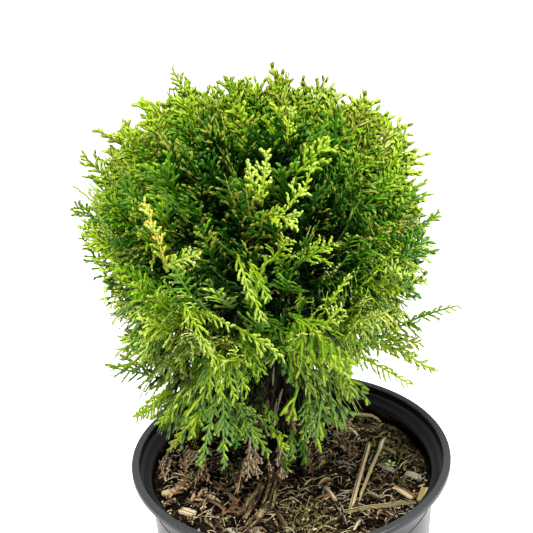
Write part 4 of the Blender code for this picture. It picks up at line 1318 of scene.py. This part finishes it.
# Larger bits, in millimetres: two ends in plan, width, thickness, rise of the middle, main tone, splints.
mulchBits = (
    (38, -51, 59, 36, 2.9, 2.2, 1.2, "straw", 4), (44, -40, 71, 40, 1.7, 1.4, 2.6, "straw", 2),
    (64, 22, 71, 40, 2.2, 1.0, 3.0, "pale", 2), (32, -50, 84, -40, 3.2, 1.8, 1.0, "ochre", 4),
    (70, -22, 83, -36, 5.0, 1.8, 0.6, "straw", 4), (-66, -47, -77, -41, 5.4, 2.4, 0.4, "straw", 4),
    (-91, -21, -81, -17, 4.4, 1.8, 0.6, "straw", 4), (-85, 4, -70, -5, 2.8, 1.8, 0.8, "tan", 3),
    (-101, 17, -95, 9, 3.2, 1.2, 0.4, "grey", 2), (52, -27, 61, -35, 4.0, 1.4, 0.8, "grey", 3),
    (80, -7, 91, -14, 4.8, 1.6, 0.6, "grey", 4), (86, -40, 94, -24, 5.0, 1.8, 0.6, "ochre", 4),
    (74, -14, 80, -26, 3.2, 1.6, 0.8, "mossLight", 2), (84, 4, 97, 23, 1.5, 1.2, 1.6, "tan", 1),
    (19, -16, 29, -10, 2.8, 0.8, 2.8, "tan", 2), (22, -19, 30, -38, 3.2, 0.9, 1.6, "orange", 2),
    (39, -71, 45, -58, 1.7, 1.1, 0.8, "pale", 2), (50, 76, 73, 67, 2.6, 1.4, 1.0, "straw", 2),
    (-69, -7, -50, 14, 1.3, 1.0, 1.5, "umber", 1), (-58, -30, -44, -46, 2.2, 1.0, 2.0, "rosewood", 2),
    (-46, -20, -38, -38, 2.8, 1.0, 2.0, "umber", 2), (-30, -68, -20, -63, 2.2, 1.2, 1.0, "tan", 2),
    (62, 8, 74, -3, 4.0, 1.3, 0.8, "grey", 3), (66, 30, 78, 18, 3.0, 1.1, 0.8, "mossLight", 2),
    (14, -34, 30, -28, 2.0, 1.0, 2.0, "umber", 2), (-12, -44, -4, -66, 2.8, 1.3, 1.6, "rosewood", 2),
    (-103, 38, -83, 43, 1.2, 1.0, 6.0, "pale", 1), (-95, 42, -84, 50, 1.2, 1.0, 3.4, "pale", 1),
    (40, 60, 52, 44, 2.2, 1.0, 1.6, "pale", 2), (30, 40, 42, 26, 2.4, 1.0, 1.8, "grey", 2),
    (-62, -22, -50, -34, 2.6, 1.0, 1.4, "tan", 2), (-56, -6, -47, -20, 2.2, 0.9, 1.8, "rosewood", 2),
    (-74, -30, -64, -36, 2.4, 1.0, 1.2, "umber", 2), (4, -30, 14, -42, 2.2, 1.0, 1.6, "umber", 2),
    (56, -12, 66, -4, 2.4, 1.2, 1.0, "umber", 2), (-44, -62, -36, -74, 2.6, 1.2, 0.8, "grey", 2),
)
# Shards of bark that lean on the trunk's foot: two ends in millimetres, width, thickness.
barkShards = (
    ((-34, -55, 195.5), (-21, -26, 203), 7.4, 3.6), ((-37, -50, 195), (-24, -31, 203), 4.0, 3.0),
    ((-32, -65, 195.5), (-16, -46, 200.5), 6.0, 4.0), ((-15, -44, 195), (-9, -15, 205.5), 5.5, 3.6),
    ((-21, -40, 196), (-13, -20, 204), 3.6, 3.0), ((14, 2, 195), (26, 10, 198.5), 6.5, 3.6),
    ((-28, 30, 195), (-20, 20, 203), 4.0, 3.0),
)
shardLook = {
    "rows": 30, "columns": 10, "ragged": 0.16, "broken": 0.10,
    "upper": (0.30, 0.34, 0.42), "under": (0.34, 0.20),     # crest, fall to the edges, furrows; belly, fall
    "tones": ("earth", "bark", "umber", "ochre", "mossLight"), "steps": (-0.22, 0.02, 0.24, 0.42),
}


def onSoil(x, y):
    # draws a place in plan inside the pot's wall, with the height of the soil there
    away = math.hypot(x, y)
    edge = potWall(soilLook["top"]) - potLook["wall"] - 0.0035
    if away > edge:
        x, y = x * edge / away, y * edge / away
    return np.array((x, y, soilHeight(x, y)))


def addBar(heap, line, across, width, thick, tone, rule, ragged, taper):
    # a four-sided body along a line of points, thinner and narrower towards its ends
    rings = len(line)
    ahead = unit(np.gradient(line, axis=0))
    across = unit(across - ahead * (ahead @ across)[:, None])
    over = np.cross(ahead, across)
    shape = 1.0 - taper * np.abs(2.0 * np.linspace(0.0, 1.0, rings) - 1.0) ** 2.5
    half = 0.5 * width * shape * (1.0 + ragged * rule.uniform(-1.0, 1.0, rings))
    across, over = across * half[:, None], over * (0.5 * thick * (0.6 + 0.4 * shape))[:, None]
    points = [line - across - over, line + across - over, line + across + over, line - across + over]
    points = np.stack(points, axis=1)
    last = 4 * (rings - 1)
    caps = np.array([(0, 1, 2, 3), (last + 3, last + 2, last + 1, last)])
    heap.add(points.reshape(-1, 3), np.concatenate([ringFaces(rings, 4), caps]), [], tone)


def lyingLine(start, end, rings, sway, thick, rise):
    # a line of points that lies along the soil, bent sideways and lifted in its middle
    side = np.array((-(end - start)[1], (end - start)[0])) / max(1e-6, np.linalg.norm(end - start))
    line = []
    for t in np.linspace(0.0, 1.0, rings):
        arch = math.sin(math.pi * t)
        flat = mix(start, end, t) + side * (sway * arch)
        line.append(onSoil(flat[0], flat[1]) + np.array((0.0, 0.0, 0.5 * thick + rise * arch)))
    line = np.array(line)
    arch = line[:, 2].max() - rise * (1.0 - np.sin(np.pi * np.linspace(0.0, 1.0, rings)))
    line[:, 2] = mix(line[:, 2], arch, 0.6)
    return line, side


def addShred(heap, spot, length, width, thick, tone, rule):
    turn = rule.uniform(0.0, math.tau)
    reach = np.array((math.cos(turn), math.sin(turn))) * 0.5 * length
    line, side = lyingLine(spot - reach, spot + reach, 4, rule.normal(0.0, 0.08) * length, thick,
                           abs(rule.normal(0.0, 0.10)) * length)
    roll = rule.normal(0.0, 0.6)
    across = np.array((side[0] * math.cos(roll), side[1] * math.cos(roll), math.sin(roll)))
    addBar(heap, line, across, width, thick, tone, rule, 0.3, rule.uniform(0.2, 0.9))


def addSplints(heap, line, across, width, thick, tones, count, rule):
    # a bit of wood as splints that lie side by side, each broken off at its own place
    rings = len(line)
    for k in range(count):
        beside = ((k + 0.5) / count - 0.5) * width
        first, last = rule.uniform(0.0, 0.12), rule.uniform(0.88, 1.0)
        at = np.linspace(first, last, rings) * (rings - 1)
        own = np.stack([np.interp(at, np.arange(rings), line[:, axis]) for axis in range(3)], axis=1)
        own = own + across * beside + np.array((0.0, 0.0, rule.uniform(-0.15, 0.15) * thick))
        tone = mulchNames.index(tones[rule.integers(len(tones))])
        thickHere, taper = thick * rule.uniform(0.75, 1.1), rule.uniform(0.1, 0.45)
        addBar(heap, own, across, 1.15 * width / count, thickHere, tone, rule, 0.12, taper)


def addShard(heap, start, end, width, thick, rule):
    # a rough plate of bark: an arched grid, furrowed along its length, with ragged edges
    rows, columns = shardLook["rows"], shardLook["columns"]
    ahead = unit(end - start)
    across = unit(np.cross(ahead, np.array((0.0, 0.0, 1.0))))
    over = np.cross(across, ahead)
    u, v = np.linspace(0.0, 1.0, rows), np.linspace(-1.0, 1.0, columns)
    ragged, broken = shardLook["ragged"], shardLook["broken"]
    crest, fall, depth = shardLook["upper"]
    belly, rise = shardLook["under"]
    half = 0.5 * width * (1.0 - 0.5 * np.abs(2.0 * u - 1.0) ** 2.2)
    half = half * (1.0 + ragged * rule.uniform(-1.0, 1.0, rows))
    ends = 1.0 + broken * rule.uniform(-1.0, 1.0, columns)
    own = rule.uniform(0.0, 9.0)
    top, bottom, furrows = [], [], []
    for i in range(rows):
        for j in range(columns):
            furrow = bump(v[j] * 4.2, u[i] * 2.4, own) + 0.5 * bump(v[j] * 9.0, u[i] * 7.0, own)
            flat = start + (end - start) * (0.5 + (u[i] - 0.5) * ends[j]) + across * (half[i] * v[j])
            flat = flat + across * (0.06 * width * math.sin(5.0 * u[i] + own))
            top.append(flat + over * thick * (crest - fall * v[j] ** 2 + depth * furrow))
            bottom.append(flat - over * thick * (belly + rise * v[j] ** 2))
            furrows.append(furrow)
    count = rows * columns
    i, j = np.meshgrid(np.arange(rows - 1), np.arange(columns - 1), indexing="ij")
    first = (i * columns + j).ravel()
    upper = np.stack([first, first + 1, first + columns + 1, first + columns], axis=1)
    corner = (rows - 1) * columns
    loop = np.concatenate([np.arange(columns), np.arange(1, rows) * columns + columns - 1,
                           corner + np.arange(columns - 2, -1, -1), np.arange(rows - 2, 0, -1) * columns])
    after = np.roll(loop, -1)
    rim = np.stack([loop + count, after + count, after, loop], axis=1)
    quads = np.concatenate([upper[:, ::-1], upper + count, rim[:, ::-1]])
    deep = np.array(furrows)[upper].mean(axis=1) + rule.normal(0.0, 0.10, len(upper))
    names = np.array([mulchNames.index(name) for name in shardLook["tones"]])
    tones = names[np.digitize(deep, shardLook["steps"])]
    rimTones = np.full(len(rim), names[1])
    heap.add(np.array(top + bottom), quads, [], np.concatenate([tones, tones, rimTones]))


def mulchTone(spot, rule):
    for centre, reach, tones in mulchZones:
        if np.linalg.norm(spot - centre) < reach * rule.uniform(0.6, 1.2):
            return mulchNames.index(tones[rule.integers(len(tones))])
    return 0


def freePlaces(count, rule):
    # places spread over the soil, off the stems
    look = mulchLook
    edge = potWall(soilLook["top"]) - potLook["wall"] - look["offWall"]
    made = 0
    while made < count:
        away, turn = edge * math.sqrt(rule.random()), rule.uniform(0.0, math.tau)
        spot = np.array((away * math.cos(turn), away * math.sin(turn)))
        offTrunk = np.linalg.norm(spot - trunkFoot) > look["offTrunk"]
        if offTrunk and np.linalg.norm(spot - stemFoot) > look["offStem"]:
            made += 1
            yield spot


def buildMulch():
    rule = np.random.default_rng(42)
    skin = (900.0, 0.7, 1.0, 0.7, 0.0006)
    finishes = []
    for name, colour in mulchTones.items():
        gloss = mulchLook["darkGloss" if name in ("pitch", "earth") else "gloss"]
        finishes.append(newFinish("mulch" + name.capitalize(), colour, skin, None, gloss))
    buildShreds(finishes, rule)
    buildFibres(finishes, rule)
    buildCrumbs(finishes, rule)
    buildMoss(finishes, rule)
    print("mulch laid")


def buildShreds(finishes, rule):
    look = mulchLook
    shreds = Heap()
    for spot in freePlaces(look["shreds"], rule):
        length = mix(*look["shredLength"], rule.random() ** 1.6)
        width = mix(*look["shredWidth"], rule.random() ** 1.5)
        thick = rule.uniform(*look["shredThick"])
        addShred(shreds, spot, length, width, thick, mulchTone(spot, rule), rule)
    place(shreds.piece("mulchShreds", finishes, False), "soil")
    bits = Heap()
    for x0, y0, x1, y1, width, thick, rise, tone, count in mulchBits:
        bitRule = np.random.default_rng(900 + x0 + 3 * y0)
        start, end = np.array((x0, y0)) / 1000.0, np.array((x1, y1)) / 1000.0
        line, side = lyingLine(start, end, 6, 0.0, thick / 1000.0, rise / 1000.0)
        across = np.array((side[0], side[1], bitRule.normal(0.0, 0.08)))
        addSplints(bits, line, across, width / 1000.0, thick / 1000.0, splintTones[tone], count, bitRule)
    for start, end, width, thick in barkShards:     # these and the peels go on with the last bit's draws
        start, end = np.array(start) / 1000.0, np.array(end) / 1000.0
        addShard(bits, start, end, width / 1000.0, thick / 1000.0, bitRule)
    addPeels(bits, bitRule)
    place(bits.piece("barkBits", finishes, False), "soil")


# Strips of bark that peel off the trunk and the side stem, in metres.
peelLook = {
    "count": 190, "first": 0.004, "high": 0.085, "long": (0.008, 0.026), "onStem": 0.25,
    "least": (0.0002, 0.0010), "most": (0.0006, 0.0055), "width": (0.0007, 0.0022), "thick": 0.0004,
    "tones": ("pitch", "earth", "bark", "pitch", "umber", "earth", "grey"),
}


def addPeels(heap, rule):
    # closer together at the trunk's foot; each is free at its top or at its lower end
    look = peelLook
    for _ in range(look["count"]):
        low = soilLook["top"] + look["first"] + look["high"] * rule.random() ** 1.6
        long, turn = rule.uniform(*look["long"]), rule.uniform(0.0, math.tau)
        away = rule.uniform(*look["least"]), rule.uniform(*look["most"])
        line = []
        onStem = rule.random() < look["onStem"]
        for t in np.linspace(0.0, 1.0, 6):
            height = low + long * t
            centre = np.array((*stemFoot, height)) if onStem else trunkAxis(height)
            reach = stemRadius if onStem else trunkRadius(height)
            reach += mix(away[0], away[1], t ** 2 if turn > 2.0 else (1.0 - t) ** 2)
            now = turn + 0.5 * t * math.sin(9.0 * turn)
            line.append(centre + np.array((math.cos(now), math.sin(now), 0.0)) * reach)
        across = np.array((-math.sin(turn), math.cos(turn), 0.0))
        tone = mulchNames.index(look["tones"][rule.integers(len(look["tones"]))])
        width = rule.uniform(*look["width"])
        addBar(heap, np.array(line), across, width, look["thick"], tone, rule, 0.25, 0.6)


def buildFibres(finishes, rule):
    look = mulchLook
    fibres = Heap()
    for spot in freePlaces(look["fibres"], rule):
        length = rule.uniform(*look["fibreLength"])
        turn = rule.uniform(0.0, math.tau)
        reach = np.array((math.cos(turn), math.sin(turn))) * 0.5 * length
        low, high = onSoil(*(spot - reach)), onSoil(*(spot + reach))
        high[2] += abs(rule.normal(0.0, look["fibreLift"]))
        arch = np.array((0.0, 0.0, look["fibreArch"]))
        middle = mix(low, high, 0.5) + rule.normal(0.0, 0.12, 3) * length + arch
        middle[2] = max(middle[2], soilHeight(*middle[:2]) + look["fibreGap"])
        width = rule.uniform(*look["fibreWidth"])
        fibres.add(*plainTube([low, middle, high], width, width * 0.6, 3, 4), mulchTone(spot, rule))
    place(fibres.piece("mulchFibres", finishes), "soil")


def buildCrumbs(finishes, rule):
    crumbs = Heap()
    corners = np.array(((1, 0, 0), (0, 1, 0), (-1, 0, 0), (0, -1, 0), (0, 0, 1), (0, 0, -1)), float)
    faces = np.array(((0, 1, 4), (1, 2, 4), (2, 3, 4), (3, 0, 4),
                      (1, 0, 5), (2, 1, 5), (3, 2, 5), (0, 3, 5)))
    for spot in freePlaces(mulchLook["crumbs"], rule):
        size = rule.uniform(*mulchLook["crumbSize"])
        turn = rule.uniform(0.0, math.tau)
        turned = Matrix.Rotation(turn, 3, Vector(rule.normal(0.0, 1.0, 3)).normalized())
        body = (corners * size * rule.uniform(0.6, 1.3, (6, 3))) @ np.array(turned)
        body = body + onSoil(*spot) + np.array((0.0, 0.0, 0.3 * size))
        crumbs.add(body, [], faces, mulchTone(spot, rule))
    place(crumbs.piece("soilCrumbs", finishes, False), "soil")


def buildMoss(finishes, rule):
    # short olive sprigs in the damp corner and on two small patches
    tufts = Shoots()
    for x, y, spread, share, tones in mossPatches:
        for _ in range(int(mulchLook["moss"] * share)):
            spot = onSoil(x + rule.normal(0.0, spread), y + rule.normal(0.0, spread))
            way = unit(np.array((rule.normal(0.0, 0.8), rule.normal(0.0, 0.8), 0.7)))
            tip = spot + way * rule.uniform(*mulchLook["mossLength"])
            tone = mulchNames.index(tones[rule.integers(len(tones))])
            tufts.add(spot, mix(spot, tip, 0.5), tip, (0.1, 0.2, 0.97), mulchLook["mossWidth"], tone)
    heap = Heap()
    heap.add(*shootBodies(tufts, *shootSizes["lobe"]))
    place(heap.piece("moss", finishes), "soil")


# Fallen and dead sprays: root and tip in millimetres, width, tones.
deadSprays = (
    ((-75, 2, 196), (-79, 29, 197), 15, ("deadTan", "deadPale")),
    ((-85, -28, 196), (-75, -15, 198), 12, ("rust", "deadTan")),
    ((-89, -8, 196), (-96, 17, 198), 17, ("deadGrey", "deadTan")),
    ((-27, -23, 239), (-30, -32, 211), 9, ("deadPale", "deadTan", "deadPale")),
    ((-24, -19, 232), (-24, -29, 211), 8, ("deadPale", "deadPale", "deadTan")),
    ((-8, -22, 235), (-5, -35, 211), 9, ("deadPale", "deadTan", "deadPale")),
    ((-6, -26, 228), (-2, -34, 215), 6, ("sage", "light")),
    ((-16, -4, 209), (-15, -26, 197), 7, ("deadTan", "deadBrown")),
    ((-33, -14, 214), (-38, -30, 197), 10, ("deadTan", "deadBrown")),
    ((-60, 0, 212), (-68, -16, 197), 11, ("deadTan", "rust")),
    ((30, 26, 212), (44, 14, 197), 12, ("deadBrown", "deadGrey")),
    ((-48, -52, 197), (-36, -44, 198), 10, ("deadBrown", "rust")),
    ((-70, -36, 197), (-58, -28, 198), 10, ("deadBrown", "deadTan")),
    ((30, 52, 197), (46, 58, 199), 12, ("deadGrey", "deadTan")),
    ((-20, 62, 197), (-4, 74, 199), 12, ("deadBrown", "deadTan")),
    ((-62, 52, 197), (-50, 66, 199), 12, ("deadTan", "deadBrown")),
    ((8, -7, 228), (14, -17, 203), 7, ("deadBrown", "deadGrey")),
    ((-14, -10, 262), (-20, -18, 240), 8, ("deadGrey", "deadBrown")),
    ((-2, -8, 255), (4, -16, 236), 7, ("deadGrey", "deadTan")),
)


def buildDeadSprays(finishes):
    book = newBook()
    for number, (root, tip, width, tones) in enumerate(deadSprays):
        rule = np.random.default_rng(7000 + number)
        root, tip = np.array(root) / 1000.0, np.array(tip) / 1000.0
        route = [root, mix(root, tip, 0.5) + np.array((0.0, 0.0, 0.0025)), tip]
        flatSide = np.cross(unit(tip - root), np.array((0.0, -0.6, 0.8)))
        growSpray(book, route, flatSide, "dead", width / 1000.0, (3.0, 3.0), rule, (tones, 1.0))
    piece = joinShoots(book).piece("fallenSprays", finishes)
    place(piece, "soil")
    print("dead sprays laid:", triangleCount(piece), "triangles")


seedlingLook = {
    "spot": (0.0705, 0.0030), "leaves": 5, "turn": 0.3, "spread": 0.0026, "height": 0.0040, "step": 0.0006,
    "stalk": 0.003, "stalkWidth": (0.00030, 0.00022), "long": 0.0018, "wide": 0.0014, "tilt": 0.0005,
    "thick": 0.0003, "corners": 8, "colour": (166, 208, 112),
}


def buildSeedling():
    # a seedling with round leaves on thin stalks
    look = seedlingLook
    heap = Heap()
    spot = onSoil(*look["spot"])
    up = np.array((0.0, 0.0, 1.0))
    corners = look["corners"]
    for k in range(look["leaves"]):
        turn = math.tau * (k + look["turn"]) / look["leaves"]
        out = np.array((math.cos(turn), math.sin(turn), 0.0))
        side = np.array((-out[1], out[0], 0.0))
        centre = spot + out * look["spread"] + up * (look["height"] + look["step"] * (k % 2))
        stalk = [spot, spot + up * look["stalk"], centre]
        heap.add(*plainTube(stalk, *look["stalkWidth"], 3, 4))
        points = []
        for angle in np.linspace(0.0, math.tau, corners + 1)[:-1]:
            along, over = math.cos(angle), math.sin(angle)
            points.append(centre + out * (look["long"] * along) + side * (look["wide"] * over)
                          + up * (look["tilt"] * along))
        points += [centre + up * look["thick"], centre - up * look["thick"]]
        tris = [(i, (i + 1) % corners, corners) for i in range(corners)]
        tris += [((i + 1) % corners, i, corners + 1) for i in range(corners)]
        heap.add(points, [], tris)
    finish = newFinish("seedling", look["colour"], (900.0, 0.5, 0.7, 0.3, 0.0003), None, 0.3)
    place(heap.piece("seedling", [finish]), "soil")


# Camera, floor and soft studio light.
stageLook = {
    "camera": (0.0, -0.66178, 0.64149), "right": (0.9990856, -0.00210295, -0.04270301),
    "up": (0.04001536, 0.39775876, 0.91661701), "forward": (-0.0150579, 0.91748763, -0.3974792),
    "lens": 74.29643527, "sensor": 36.0, "floor": 6.0, "glow": 0.31,
}
lamps = {
    "keyLamp": {"spot": (-0.34, -1.0, 2.25), "size": 0.6, "power": 74.0},
    "fillLamp": {"spot": (1.3, -1.2, 1.1), "size": 1.0, "power": 34.0},
}
lampAim = (0.0, 0.0, 0.3)


def buildCamera():
    look = stageLook
    camera = bpy.data.objects.new("camera", bpy.data.cameras.new("camera"))
    bpy.context.scene.collection.objects.link(camera)
    right, up, ahead = Vector(look["right"]), Vector(look["up"]), Vector(look["forward"])
    turn = Matrix((right, up, -ahead)).transposed()
    camera.matrix_world = Matrix.Translation(look["camera"]) @ turn.to_4x4()
    camera.data.lens = look["lens"]
    camera.data.sensor_width = look["sensor"]
    camera.data.clip_start = 0.01
    bpy.context.scene.camera = camera


def buildFloor():
    half = stageLook["floor"]
    corners = [(-half, -half, 0.0), (half, -half, 0.0), (half, half, 0.0), (-half, half, 0.0)]
    paper = newFinish("paper", (250, 250, 250), (60.0, 0.9, 1.0, 0.02, 0.0005), None, 0.1)
    shader = paper.node_tree.nodes["Principled BSDF"]
    shader.inputs["Emission Color"].default_value = (1.0, 1.0, 1.0, 1.0)
    onlySeen = paper.node_tree.nodes.new("ShaderNodeLightPath")      # it glows for the camera only
    paper.node_tree.links.new(onlySeen.outputs["Is Camera Ray"], shader.inputs["Emission Strength"])
    floor = addPiece("floor", corners, [[(0, 1, 2, 3)]], [paper], None, False)


def buildStage():
    buildCamera()
    buildFloor()
    world = bpy.data.worlds.new("studio")
    world.use_nodes = True
    sky = world.node_tree.nodes["Background"]
    sky.inputs["Color"].default_value = (1.0, 1.0, 1.0, 1.0)
    sky.inputs["Strength"].default_value = stageLook["glow"]
    bpy.context.scene.world = world
    for name, lamp in lamps.items():
        addLamp(name, **lamp)
    bpy.context.scene.view_settings.view_transform = "Standard"
    print("stage set")


def addLamp(name, spot, size, power):
    lamp = bpy.data.objects.new(name, bpy.data.lights.new(name, "AREA"))
    lamp.data.shape = "DISK"
    lamp.data.size = size
    lamp.data.energy = power
    lamp.location = spot
    aim = Vector(lampAim) - Vector(spot)
    lamp.rotation_euler = aim.to_track_quat("-Z", "Y").to_euler()
    bpy.context.scene.collection.objects.link(lamp)


masses = crownMasses()
buildPot()
buildSoil()
buildLimbs(masses)
buildFoliage(masses)
buildMulch()
buildSeedling()
buildStage()
